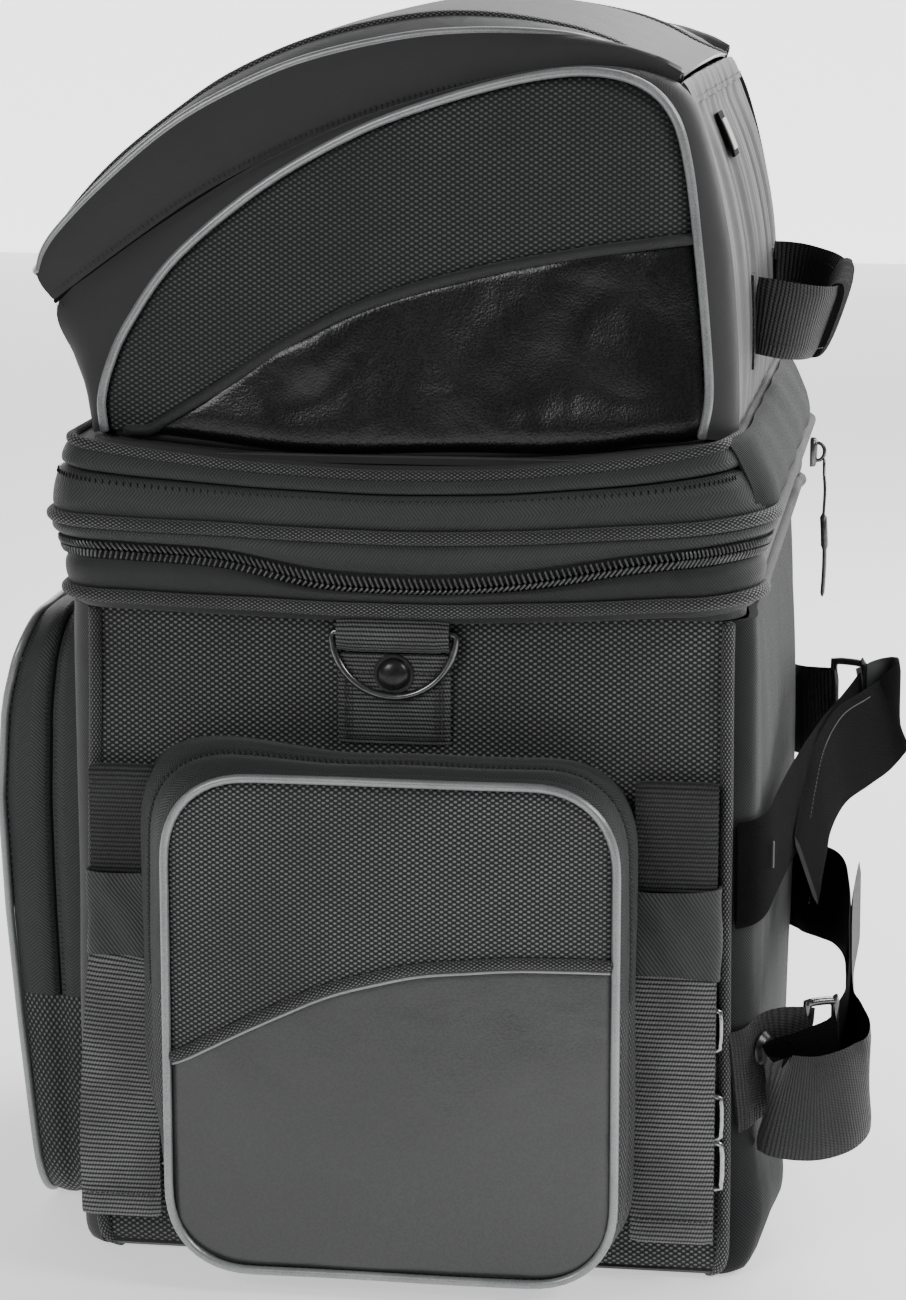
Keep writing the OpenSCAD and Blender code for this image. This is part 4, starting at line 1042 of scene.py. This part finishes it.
turned(g, [(0.02, 0), (7.6, 0), (8.0, .6), (7.6, 1.3), (6.8, 1.6), (6.2, 2.6), (4.6, 3.6), (2.2, 4.1), (0.02, 4.2)], (163.4, -160.4, 108), (0.86, -0.5, 0), "rivet")
g.build("lower_ring_tab", "case", "hook_loop")
g = Geo()
rect_ring(g, (182.4, -146.5), (195, -139.6), 68, 126, 2.0, "metal")
g.build("lower_strap_ring", "case", "dark_metal")
g = Geo()
turned(g, [(0.02, 0), (7.6, 0), (8.0, .6), (7.6, 1.3), (6.8, 1.6), (6.2, 2.6), (4.6, 3.6), (2.2, 4.1), (0.02, 4.2)], (163.4, 160.4, 205), (0.86, 0.5, 0), "rivet")
g.build("upper_strap_rivet", "case", "dark_metal")

# ------------------------------------------------------------------ zip sliders and pulls
def slider(g, c, out, up, w, mat="metal"):
    """A zip slider body with its bridge. out and up are unit vectors."""
    c, out, up = map(lambda q: np.asarray(q, float), (c, out, up))
    side = np.cross(up, out)
    def pt(a, b, d):
        return c + side * a + up * b + out * d
    prof = cr([(-w * .5, 0.2), (-w * .5, 2.2), (-w * .36, 3.4), (0, 4.0), (w * .36, 3.4), (w * .5, 2.2), (w * .5, 0.2)], 16)
    zz = np.array([-7.6, -7.0, -5, 0, 4, 6.5, 7.2])
    sc = np.array([.5, .74, .86, 1, 1, .86, .7])
    P = np.array([[pt(p[0] * s, z, p[1] * min(1, s + .1)) for z, s in zip(zz, sc)] for p in prof])
    g.shell(P, 1.4, mat)
    g.tube(cr([pt(0, -4.5, 2.6), pt(0, -4, 5.6), pt(0, -1.5, 7.4), pt(0, 2.0, 7.4), pt(0, 4.4, 5.6), pt(0, 5, 2.6)], 18), 1.05, mat, sides=8)
def pull(g, top, out, down, length, mat="metal", width=7.0):
    """Metal loop, cord and a moulded tab that hangs from it."""
    top, out, down = map(lambda q: np.asarray(q, float), (top, out, down))
    side = np.cross(down, out)
    loop = [top + side * a + down * b for a, b in ((0, -1.2), (1.9, 0), (2.2, 3), (1.6, 6.2), (0, 7.4), (-1.6, 6.2), (-2.2, 3), (-1.9, 0))]
    g.tube(cr(np.array(loop), 36, closed=True), .75, mat, closed=True, sides=8)
    for s in (-1, 1):
        pts = cr([top + side * s * .4 + down * 6.6, top + side * s * 1.2 + down * (length * .22) + out * .6, top + side * s * .7 + down * (length * .42)], 14)
        g.tube(pts, .75, "thread", sides=6)
    a = length * .38
    zz = np.linspace(0, 1, 22)
    th = np.arange(16) / 16 * TAU
    P = np.zeros((22, 16, 3))
    for i, t in enumerate(zz):
        w = width * .5 * (0.55 + .55 * math.sin(math.pi * min(1, t * 2.4)) * (t < .42) + .12 * (t > .42) - .12 * max(0, t - .85) / .15)
        d = 1.5 * (0.8 + .5 * (t < .4))
        cc = top + down * (a + t * (length - a)) + out * (1.0 * math.sin(t * 3)) + side * (-2.2 * t * t)
        if i in (0, 21):
            w *= .35; d *= .35
        P[i] = cc + side * (w * np.cos(th))[:, None] + out * (d * np.sin(th))[:, None]
    g.grid(P, "coil", None, cv=True)
    for k in (0, 21):
        g.grid(np.stack([P[k], np.repeat(P[k].mean(0)[None], 16, 0)], 1), "coil", None, cu=True)
g = Geo()
slider(g, (166.6, 120, 333 + 12), (1, 0, 0), (0, 0, 1), 9.5)
g.build("expansion_slider_body", "expansion_slider", "zip_metal", ["expansion_zip_slider"])
g = Geo()
pull(g, (174.2, 120, 340), (1, 0, 0), (0, 0, -1), 72)
g.build("expansion_pull_tab", "expansion_pull", "zip_metal", ["expansion_zip_pull"])
g = Geo()
for y in (-14, 14):
    slider(g, (-163.0, y, 367), (-1, 0, 0), (0, 0, 1), 8.5)
    Q = np.array([[[-163.4 + 2.6 * smooth01(b, 372, 384), a, b] for b in np.linspace(360.5, 384, 9)] for a in np.linspace(y - 6, y + 6, 5)])
    g.shell(Q, 1.0, "tape", flip=True)
g.build("main_slider_bodies", "main_lid", "zip_metal", ["main_zip_sliders"])
g = Geo()
for y in (-14, 14):
    pull(g, (-169.8, y, 367), (-1, 0, 0), (0, 0, -1), 44, width=6)
g.build("main_pull_tabs", "main_pulls", "zip_metal", ["main_zip_pulls"])
g = Geo()
pull(g, (-180, 0, 454), (-1, 0, 0), (0, 0, -1), 40, width=6)
g.build("top_pull_tab", "top_pull", "zip_metal", ["top_zip_pull"])
g = Geo()
slider(g, (-173.5, 0, 452), (-1, 0, 0), (0, 0, 1), 8)
g.build("top_slider_body", "top_lid", "zip_metal")

# ------------------------------------------------------------------ top bag
def pairs_curve(pairs, ya, yb, n):
    a = np.array([[p[0][0], ya if len(p[0]) < 3 else p[0][2], p[0][1]] for p in pairs], float)
    b = np.array([[p[1][0], yb if len(p[1]) < 3 else p[1][2], p[1][1]] for p in pairs], float)
    A = cr(a, n, by_index=True); B = cr(b, n, by_index=True)
    return A, B
def between(A, B, rows, bulge):
    """Surface between two lines, with its normals, row fractions and the bulge (one number or one per point); the
    caller does any swelling.
    """
    s = np.linspace(0, 1, rows)
    P = A[:, None] * (1 - s)[None, :, None] + B[:, None] * s[None, :, None]
    N = normals(P)
    bl = np.broadcast_to(np.asarray(bulge, float), (len(A),))
    return P, N, s, bl

side_pairs = [((-141, 389), (-146, 388, -153)), ((-142, 403), (-149, 404, -153)), ((-138, 419), (-156, 422, -152)), ((-129, 438), (-163.5, 445.5, -152)),
              ((-107, 468), (-133, 469.5, -155)), ((-68, 500), (-82, 502, -156)), ((-27, 523.5), (-35, 523.5, -157)), ((9, 537.5), (10, 538, -157)),
              ((49, 548.5), (50, 547.5, -157)), ((80, 552), (82, 550, -156)), ((103, 547), (107, 548.5, -154)), ((117, 534), (122, 541, -152)),
              ((124, 512), (132, 515, -152)), ((129, 475), (140.5, 476, -152)), ((133, 436), (144, 440, -152)), ((134.5, 409), (145.5, 410, -152)), ((131.5, 391), (145.5, 389, -152))]
C1, C2 = pairs_curve(side_pairs, -165, -152, 150)
top_bag_pieces = []
def topbag_side():
    out = {}
    # strip between the trimmed side and the zip / front panel
    P, N, s, bl = between(C1, C2, 9, 2.5)
    P = P - N * (bl[:, None, None] * np.sin(np.pi * s)[None, :, None]) * 0
    nb = np.sin(np.pi * s)[None, :, None]
    cen = arr(0, 0, 440)
    outw = P - arr(-10, 0, 440); outw[..., 1] = -60
    outw /= np.linalg.norm(outw, axis=-1, keepdims=True)
    P = P + outw * nb * 2.4
    g = Geo(); g.shell(P, 1.8, "twill_dark", "lining", flip=True)
    out["strip"] = g
    ys = -163.2
    return out
tb = topbag_side()
tb["strip"].build("top_strip_right", "top_bag", "twill", ["top_bag_side_right"], padded=0.4)
tb["strip"].mirror().build("top_strip_left", "top_bag", "twill", ["top_bag_side_left"], padded=0.4)

sp = np.array([[p[0][0], p[0][1]] for p in side_pairs], float)
spc = cr(sp, 300)
pk = int(np.argmax(spc[:, 1]))
def top_edge(x):
    """Height of the side outline above x."""
    a = spc[:pk + 1]; b = spc[pk:]
    xl = np.interp(x, *zip(*sorted(zip(a[:, 0], a[:, 1]))))
    xr = np.interp(x, *zip(*sorted(zip(b[:, 0], b[:, 1]))))
    return np.where(np.asarray(x) < spc[pk, 0], xl, xr)
foot_dz = lambda x: np.minimum(dz(x), 0) * 0.85 + np.maximum(dz(x), 0) * 0.35
top_div = lambda x: np.interp(x, [-142, -132, -96, -59, -27, 5, 41, 85, 123, 134], [376, 382, 404, 429, 446, 457, 466, 474, 479, 480])
def top_div_s(x):
    k = np.linspace(-3, 3, 13)
    return sum(top_div(np.asarray(x, float) + a * 4) for a in k) / len(k)
def side_x_range(z):
    """Rear and front x of the side outline at height z."""
    a = spc[:pk + 1]; b = spc[pk:]
    i = np.argsort(a[:, 1]); xl = np.interp(z, a[i, 1], a[i, 0])
    i = np.argsort(b[:, 1]); xr = np.interp(z, b[i, 1], b[i, 0])
    return xl, xr
def tb_face_y(x, z):
    xl, xr = side_x_range(z)
    d = np.minimum(np.minimum(x - xl, xr - x), 60)
    dt = np.clip(np.minimum(d, top_edge(x) - z), 0, 60)
    db = np.clip(z - 386, 0, 60)
    return 163.6 + 5.5 * (1 - np.exp(-dt / 16.0)) * (0.35 + .65 * (1 - np.exp(-db / 22.0))) + wob(x * 1.2, 4, z * 1.3, 0.7)
def side_faces():
    up, lo = Geo(), Geo()
    # upper cloth: ruled between the divider and the outline
    n = 140
    pe = int(np.argmin(np.where(np.arange(len(spc)) > pk, np.hypot(spc[:, 0] - 128.3, spc[:, 1] - 479.5), 1e9)))
    O = cr(spc[:pe + 1], n)
    O = O + (arr(-5, 450) - O) / np.linalg.norm(arr(-5, 450) - O, axis=1, keepdims=True) * 1.4
    xs = np.linspace(-136, 131, 500); zs = top_div_s(xs)
    xd0 = float(np.interp(389.4, zs, xs))
    D = np.vstack([[-139.6, 389.4], [xd0 - 4, 389.4], np.stack([np.linspace(xd0, 126.8, 60), top_div_s(np.linspace(xd0, 126.8, 60)) + 1.2], 1)])
    L_ = np.r_[0, np.cumsum(np.linalg.norm(np.diff(D, axis=0), axis=1))]
    D = np.stack([np.interp(np.linspace(0, L_[-1], n), L_, D[:, c]) for c in (0, 1)], 1)
    s = np.linspace(0, 1, 60)
    Q = D[:, None] * (1 - s)[None, :, None] + O[:, None] * s[None, :, None]
    XX, Z = Q[..., 0], Q[..., 1]
    Y = tb_face_y(XX, Z)
    Y = Y - 1.6 * np.exp(-((s * np.linalg.norm(O - D, axis=1)[:, None] * 0 + (1 - s) * np.linalg.norm(O - D, axis=1)[:, None]) / 3.0) ** 2) - 1.2 * np.exp(-((Z - top_div_s(XX)) / 2.6) ** 2)
    up.shell(np.stack([XX, -Y, Z], -1), 2.0, "ballistic_top", "lining", UV=np.stack([XX, Z], -1))
    # lower leatherette: rows in z, from the divider to the front outline
    Zr = 389.0 + (478.6 - 389.0) * np.linspace(0, 1, 70) ** 1.0
    x0_ = np.interp(Zr, zs, xs) + 1.2
    x1_ = side_x_range(Zr)[1] - 1.2
    x0_ = np.minimum(x0_, x1_ - 0.4)
    t_ = np.linspace(0, 1, 100)
    XX = x0_[None] + (x1_ - x0_)[None] * t_[:, None]
    Zn = np.repeat(Zr[None], 100, 0)
    Z = Zn + (np.minimum(foot_dz(XX), 0) - 1.2 + 1.0 * np.sin(XX * .05 + .6)) * (1 - smooth01(Zn, 389, 430))
    Y = tb_face_y(XX, Zn) + 0.5 + 2.6 * np.exp(-((Zn - 398) / 12) ** 2)
    wr = 2.4 * np.exp(-(((XX + 35) + (Zn - 400) * .9) / 26) ** 2) * smooth01(Zn, 396, 430) + 1.6 * np.exp(-(((XX - 30) - (Zn - 420) * .8) / 20) ** 2) - 1.4 * np.exp(-(((XX - 75) - (Zn - 430) * .5) / 16) ** 2) + 1.1 * np.exp(-((XX - 100) / 22) ** 2) * np.sin((Z - 400) * .13 + XX * .05) + 0.8 * np.exp(-((XX + 40) / 30) ** 2) * np.sin((XX - Z * 1.1) * .12)
    Y = Y + wr * smooth01(Z, 392, 412)
    Y = Y - 1.6 * np.exp(-(((x1_[None] - XX)) / 3.0) ** 2) - 1.4 * np.exp(-((Z - top_div_s(XX)) / 2.6) ** 2) - 5.5 * np.exp(-((Zn - 387.5) / 3.0) ** 2)
    lo.shell(np.stack([XX, -Y, Z], -1), 2.0, "leather", "lining", UV=np.stack([XX, Z], -1))
    d = Geo()
    Xd = np.linspace(-131, 131.5, 80); Zd = top_div_s(Xd)
    Zd = np.maximum(Zd, 389.5)
    xl, xr = side_x_range(Zd)
    Xd = np.clip(Xd, xl + 2, xr - 1.5)
    d.tube(np.stack([Xd, -tb_face_y(Xd, Zd) - 0.1, Zd], -1), 2.6, "piping_plain", sides=10)
    return up, lo, d
up_, lo_, d_ = side_faces()
for nm, mir in (("right", False), ("left", True)):
    for gg, t_, sl in ((up_, "top_side_upper_", "ballistic"), (lo_, "top_side_lower_", "leatherette"), (d_, "top_side_divider_", "black_piping")):
        (gg.mirror() if mir else gg).build(t_ + nm, "top_bag", sl, padded=None if "divider" in t_ else 0.5)
g = Geo()
sil = cr(np.stack([C1[:, 0], C1[:, 1] - 0.6, C1[:, 2]], 1), 170)
g.tube(sil, 2.15, "silver", sides=12)
sil2 = sil * arr(1, -1, 1)
g.tube(sil2, 2.15, "silver", sides=12)
g.build("top_side_piping", "top_bag", "silver_piping", ["top_bag_piping"])
# black piping under the top bag, round its foot
g = Geo()
foot, fn = rrpath(143.5, 160.5, 16, 5)
fp = np.stack([foot[:, 0] - 1.0, foot[:, 1], np.full(len(foot), 388.0) + foot_dz(foot[:, 0]) * 1.0], 1)
g.tube(fp, 2.6, "piping_plain", closed=True, sides=10)
g.build("top_foot_piping", "top_bag", "black_piping")
g = Geo()
ts = [1.0, 0.985, 0.97, 0.94, 0.9, 0.75, 0.5, 0.25, 0.0006]
P = np.stack([np.stack([foot[:, 0] * t * .985, foot[:, 1] * t * .985, 388.2 + foot_dz(foot[:, 0]) * t ** 16], -1) for t in ts], 1)
g.shell(P, 1.0, "twill", "lining", cu=True, flip=True)
g.build("top_base_cloth", "top_bag", "twill", ["top_bag_base"])
# rear wall
Yr = np.linspace(-153.5, 153.5, 64)
rw = cr([(-145.5, 387.5), (-147, 396), (-149.5, 405), (-154, 415), (-158.5, 426), (-162.5, 438), (-164.5, 446)], 20)
P = np.zeros((len(Yr), len(rw), 3))
P[..., 0] = rw[None, :, 0] - 3.0 * np.cos(Yr / 153.5 * math.pi / 2)[:, None] + wob(Yr * 1.2, 2, 0, .6)[:, None]
P[..., 1] = Yr[:, None]
P[..., 2] = rw[None, :, 1]
g = Geo(); g.shell(P, 2.0, "twill_dark", "lining", UV=P[..., 1:], flip=True)
g.build("top_rear_cloth", "top_bag", "twill", ["top_bag_rear_wall"], padded=0.4)
# front panel with soft pleats and a stitched hem
fc = cr([(146.3, 387.5), (146.6, 400), (146.2, 420), (144.6, 445), (141.8, 472), (136.4, 500), (129.4, 524), (122.4, 542), (119.4, 546.6)], 60)
Yf = np.linspace(-152.5, 152.5, 150)
P = np.zeros((len(Yf), len(fc), 3))
tz_ = (fc[:, 1] - 387) / 160
for i, y in enumerate(Yf):
    e = np.clip(1 - (abs(y) / 152.5) ** 4, 0, 1)
    pleat = (1.7 * np.sin(y * .16 + 1.2 * math.sin(y * .041)) + 1.0 * np.sin(y * .37 + 2.0)) * np.interp(tz_, [0, .1, .3, .8, .93, 1.0], [.1, .45, .8, 1.0, .55, .3])
    P[i, :, 0] = fc[:, 0] + e * (4.0 * np.sin(np.pi * np.clip(tz_, 0, 1)) + pleat) + 2.4 * e * np.interp(tz_, [.9, 1], [0, 1])
    P[i, :, 1] = y
    P[i, :, 2] = fc[:, 1] + (abs(y) < 149) * 0.0 + 2.6 * e * np.interp(tz_, [.9, 1], [0, 1])
g = Geo(); g.shell(P, 2.0, "pleat", "lining", UV=np.stack([P[..., 1], P[..., 2]], -1))
# hem: a folded strip and a stitch row
j = 55
hem = P[:, j:, :] + arr(1.1, 0, 0.5)
g.shell(hem, 0.9, "pleat", "pleat", UV=np.stack([hem[..., 1], hem[..., 2]], -1))
stitches(g, P[4:-4:2, j + 1, :] + arr(2.0, 0, .6), "thread", 3.4, 2.2, .22)
g.build("top_front_pleats", "top_bag", "pleated", ["top_bag_front_panel"], padded=0.4)
g = Geo()
# blank maker's tag, no lettering
tz0, tz1 = 513.5, 527.5
def fx(y, z):
    ii = int(np.argmin(abs(Yf - y)))
    return np.interp(z, P[ii, :, 2], P[ii, :, 0])
def patch(y0, y1, z0, z1, lift, mat, t=0.7):
    yy = np.linspace(y0, y1, 8); zz = np.linspace(z0, z1, 8)
    Q = np.array([[[max(fx(a, b) for a in (y0, (y0 + y1) / 2, y1)) + lift, a, b] for b in zz] for a in yy])
    g.shell(Q, t, mat)
patch(-84, -58, 510.5, 530.5, 1.0, "groove", 1.4)
patch(-81, -61, 513.5, 527.5, 1.6, "tag")
g.build("blank_side_tag", "top_bag", "pleated")
# lid of the top bag
lid_pairs = [((-166, 447, -152), (-174, 459)), ((-158, 453, -152.5), (-171, 469)), ((-147, 461, -154), (-163, 480)), ((-126, 476, -155), (-144, 499)),
             ((-101, 493, -156), (-116, 522.5)), ((-78, 506, -156.5), (-89, 539)), ((-45, 521.8, -157), (-52, 555)), ((-4, 536.5, -157.5), (-7, 565.5)),
             ((30, 545, -158), (29, 568.5)), ((66, 551, -157), (65, 567)), ((88, 551.5, -156), (86, 562.5)), ((106, 549.8, -154), (103, 555.5)), ((117.5, 546.5, -151), (116.5, 548))]
D1, D2 = pairs_curve(lid_pairs, -156, -150, 130)
P, N, s, bl = between(D1, D2, 10, 2.0)
outw = P - arr(-20, 0, 440); outw[..., 1] = -130
outw /= np.linalg.norm(outw, axis=-1, keepdims=True)
fr = smooth01(P[..., 0], 40, 100)
P = P + outw * (np.sin(np.pi * s)[None, :, None]) * (2.0 + 1.5 * fr[..., None])
P[..., 2] += fr * np.sin(np.pi * s)[None] * 3.0
g = Geo(); g.shell(P, 1.8, "twill_dark", "lining", flip=True)
g.build("lid_strip_right", "top_lid", "twill", ["top_lid_gussets"], padded=0.4)
g.mirror().build("lid_strip_left", "top_lid", "twill", padded=0.4)
g = Geo()
se = np.stack([D2[:, 0], D2[:, 1] - .4, D2[:, 2] + .3], 1)
g.tube(se, 2.1, "silver", sides=12); g.tube(se * arr(1, -1, 1), 2.1, "silver", sides=12)
# the piping also crosses the rear lip
lip = cr([(-174, -150, 459.3), (-177.5, -140, 459.6), (-179.5, -110, 460.5), (-180.5, 0, 461), (-179.5, 110, 460.5), (-177.5, 140, 459.6), (-174, 150, 459.3)], 80)
g.tube(lip, 2.1, "silver", sides=12)
g.build("top_lid_edge_piping", "top_lid", "silver_piping", ["top_lid_piping"])
# upper face: outer bands and the crowned centre
c4 = [(-173, 463), (-168.5, 473), (-159, 487), (-139, 508), (-111, 530), (-84, 547.5), (-46, 563.5), (-3, 573), (31, 574), (64, 569.2), (86, 562.6), (104, 553.5), (118, 547.5)]
C4 = cr(np.array([[a, -134.5, b] for a, b in c4]), 130, by_index=True)
P, N, s, bl = between(D2, C4, 6, 1.0)
P[..., 2] += np.sin(np.pi * s)[None] * 0.8
# outer bands: mid grey that paints in the reflection of the light above on the lid leatherette
g = Geo(); g.shell(P, 1.6, "lid_band_painted_reflection", "lining", flip=True)
g.build("lid_outer_band_right", "top_lid", "leatherette", ["top_lid_shell"], padded=0.4)
g.mirror().build("lid_outer_band_left", "top_lid", "leatherette", padded=0.4)
g = Geo()
bp = np.stack([C4[:, 0], C4[:, 1], C4[:, 2] + .9], 1)
g.tube(bp, 2.5, "piping", sides=10); g.tube(bp * arr(1, -1, 1), 2.5, "piping", sides=10)
g.build("lid_inner_piping", "top_lid", "black_piping")
Yc = np.linspace(-134.5, 134.5, 60)
P = np.zeros((len(C4), len(Yc), 3))
cw = np.cos(Yc / 134.5 * math.pi / 2) ** .75
P[..., 0] = C4[:, 0][:, None] - cw[None] * (5.5 * smooth01(-C4[:, 0], 60, 170))[:, None] + cw[None] * 3.0 * smooth01(C4[:, 0], 90, 118)[:, None]
P[..., 1] = Yc[None]
P[..., 2] = C4[:, 2][:, None] + cw[None] * (5.2 * smooth01(C4[:, 0], -170, -90) * (1 - .25 * smooth01(C4[:, 0], 90, 118)))[:, None] + wob(C4[:, 0][:, None] * 1.2, Yc[None] * 1.2, 0, .5)
# crowned centre: pale grey painted reflection on the lid leatherette
g = Geo(); g.shell(P, 1.8, "lid_center_painted_reflection", "lining", flip=True)
g.build("lid_center_panel", "top_lid", "leatherette", padded=0.5)
# rear lip, from the edge piping down to the zip
Yl = np.linspace(-151, 151, 60)
rl = cr([(-174.2, 459), (-173.6, 455), (-170.5, 450.5), (-166.4, 447.2)], 8)
P = np.zeros((len(Yl), len(rl), 3))
P[..., 0] = rl[None, :, 0] - 6.0 * np.cos(Yl / 151 * math.pi / 2)[:, None] ** .5 * np.linspace(1, .55, len(rl))[None]
P[..., 1] = Yl[:, None]
P[..., 2] = rl[None, :, 1] + 1.4 * np.cos(Yl / 151 * math.pi / 2)[:, None] ** .6 * np.linspace(1, 0, len(rl))[None]
g = Geo(); g.shell(P, 1.6, "twill_dark", "lining", UV=P[..., 1:])
g.build("lid_rear_lip", "top_lid", "twill", padded=0.4)
# zip of the top bag: groove and stitching on both sides of it
g = Geo()
zc = cr(np.array([((p[0][0] + 0.0), p[0][2], p[0][1] - .6) for p in lid_pairs]), 120)
g.tube(zc + arr(0, -1.4, -.2), 1.0, "groove", sides=6); g.tube((zc + arr(0, -1.4, -.2)) * arr(1, -1, 1), 1.0, "groove", sides=6)
g.build("top_zip_groove", "top_bag", "zip_coil")
g = Geo(); gl = Geo()
zz = cr(zc, step=2.6)
T = np.gradient(zz, axis=0); T /= np.linalg.norm(T, axis=1, keepdims=True)
S_ = np.cross(T, arr(0, -1, 0)); S_ /= np.linalg.norm(S_, axis=1, keepdims=True)
S_[S_[:, 2] < 0] *= -1
for p, q in zip(zz, S_):
    for s_, gg, yo in ((1, gl, 1.6), (-1, g, 2.6)):
        a = p + q * s_ * 1.6 + arr(0, -yo, 0); b = p + q * s_ * 4.2 + arr(0, -yo - (0.8 if s_ > 0 else 1.2), 0)
        gg.tube([a, (a + b) / 2, b], [.18, .28, .18], "thread", sides=4, cap=False)
        gg.tube([a * arr(1, -1, 1), (a + b) / 2 * arr(1, -1, 1), b * arr(1, -1, 1)], [.18, .28, .18], "thread", sides=4, cap=False)
g.build("top_zip_stitching_lower", "top_bag", "zip_coil")
gl.build("top_zip_stitching_upper", "top_lid", "zip_coil")

# ------------------------------------------------------------------ carry handle
g = Geo()
for s in (-1, 1):
    yy = s * 73
    zz = np.linspace(412, 456, 8); y2 = np.linspace(yy - 10, yy + 10, 6)
    Q = np.array([[[149.2 - 0.03 * max(0, b - 430), a, b] for b in zz] for a in y2])
    g.shell(Q, 1.6, "web_dark")
    Q = np.array([[[150.4, a, b] for b in np.linspace(418, 450, 6)] for a in np.linspace(yy - 1.6 - s * 4, yy + 1.6 - s * 4, 3)])
    g.shell(Q, 1.6, "groove")
g.build("handle_patches", "top_bag", "webbing", ["handle_anchors"])
g = Geo()
hk = [(148.6, -73, 436.4, 0), (154, -74.5, 435.8, .03), (162, -73, 434.2, .12), (170, -67, 432.6, .22), (176.4, -57, 431.4, .3), (180.4, -40, 431, .34), (181.6, 0, 432.6, .34), (180.4, 40, 435, .34), (176.4, 57, 436.6, .3), (170, 67, 438, .22), (162, 73, 439.6, .12), (154, 74.5, 440.4, .03), (148.6, 73, 440.6, 0)]
hq = cr(hk, 120)
hl = hq[:, :3]
ribbon(g, hl, np.stack([hq[:, 3], hq[:, 3] * 0, np.ones(120)], 1), 36, 2.2, "web_handle", "web_dark")
for k in (12, -12):
    stitches(g, hl[4:30] + arr(0, -1.2, k), "thread", 2.6, 1.9, .24); stitches(g, hl[-30:-4] + arr(0, 1.2, k), "thread", 2.6, 1.9, .24)
g.build("handle_webbing", "handle", "webbing", ["handle_strap"], blend=("top_bag", "handle", (147, 0, 434), (160, 0, 434)))
g = Geo()
Yg = np.linspace(-43, 43, 34)
th = np.arange(28) / 28 * TAU
P = np.zeros((34, 28, 3))
for i, y in enumerate(Yg):
    bx = np.interp(y, hl[:, 1][20:-20], hl[:, 0][20:-20]); bz = np.interp(y, hl[:, 1][20:-20], hl[:, 2][20:-20])
    pr = 1 - .06 * (abs(y) / 43) ** 6
    ca, sa = np.cos(th), np.sin(th)
    P[i, :, 0] = bx + 5.4 * pr * np.sign(ca) * np.abs(ca) ** .8 + .35 * math.sin(y * .35)
    P[i, :, 1] = y
    P[i, :, 2] = bz + 19.0 * pr * np.sign(sa) * np.abs(sa) ** .55 + .3 * math.sin(y * .3 + 1)
    P[i, :, 0] += .34 * (P[i, :, 2] - bz)
g.grid(P, "grip_wrap", None, cv=True)
for k in (0, 33):
    g.grid(np.stack([P[k], P[k] * .5 + P[k].mean(0) * .5, np.repeat(P[k].mean(0)[None], 28, 0)], 1), "grip_wrap", None, cu=True)
g.build("handle_wrap", "handle", "grip", ["handle_grip"], padded=0.6)

for n_, m_ in (("lid_hook_strips", "loop"), ("top_bag_loop_strips", "loop")):
    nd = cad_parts[n_]
    nd.data.materials.clear(); nd.data.materials.append(M[m_])

# ------------------------------------------------------------------ stage and light
def plane(name, size, z, mat):
    me = bpy.data.meshes.new(name)
    me.from_pydata([(-size, -size, z), (size, -size, z), (size, size, z), (-size, size, z)], [], [(0, 1, 2, 3)])
    ob = bpy.data.objects.new(name, me); SCENE.collection.objects.link(ob)
    me.materials.append(mat)
    return ob
# floor: pale and glowing near the bag, its glow a painted bounce light and bright floor for the glossy panels to
# reflect; dark and unlit further off, a painted dark surround for those panels to reflect
t = NT("floor")
sep = t.n("ShaderNodeSeparateXYZ"); t.t.links.new(t.pos(), sep.inputs[0])
near = t.ramp(sep.outputs[1], -1.9, -0.35)
fm = t.done(t.mix(near, (0.05, 0.05, 0.05), (0.84, 0.84, 0.84)), 0.9)
t.b.inputs["Emission Color"].default_value = (1, 1, 1, 1)
t.put(t.b.inputs["Emission Strength"], t.m("MULTIPLY", near, 0.75))
plane("floor", 8, -0.0005, fm)
w = bpy.data.worlds.new("world"); SCENE.world = w
w.use_nodes = True
wt = w.node_tree
bg = wt.nodes["Background"]
bg.inputs[0].default_value = (1, 1, 1, 1)
bg.inputs[1].default_value = 0.16
def area(name, loc, look, size, power, size_y=None):
    d = bpy.data.lights.new(name, "AREA"); d.energy = power; d.size = size
    if size_y:
        d.shape = "RECTANGLE"; d.size_y = size_y
    o = bpy.data.objects.new(name, d); SCENE.collection.objects.link(o)
    o.location = loc
    v = np.array(look, float) - np.array(loc, float)
    from mathutils import Vector
    o.rotation_euler = Vector(v).to_track_quat("-Z", "Y").to_euler()
    return o
area("key", (2.2, -0.9, 1.9), (0.1, 0, 0.45), 0.8, 36)
area("fill", (-1.3, -2.5, 1.5), (0, -0.1, 0.25), 1.0, 30)
area("front_side", (1.9, 0.9, 1.5), (0.15, 0, 0.5), 0.8, 12)
area("top_back", (0.7, 1.3, 1.7), (0.05, 0, 0.55), 1.2, 48)
# a white wall behind, lit on its own
wall = NT("backdrop"); wall.b.inputs["Emission Color"].default_value = (1, 1, 1, 1); wall.b.inputs["Emission Strength"].default_value = 2.2
wm = wall.done((0.82, 0.82, 0.82), 0.9)
me = bpy.data.meshes.new("backdrop")
me.from_pydata([(-8, 5, -0.5), (8, 5, -0.5), (8, 5, 6), (-8, 5, 6)], [], [(0, 1, 2, 3)])
bo = bpy.data.objects.new("backdrop", me); SCENE.collection.objects.link(bo); me.materials.append(wm)
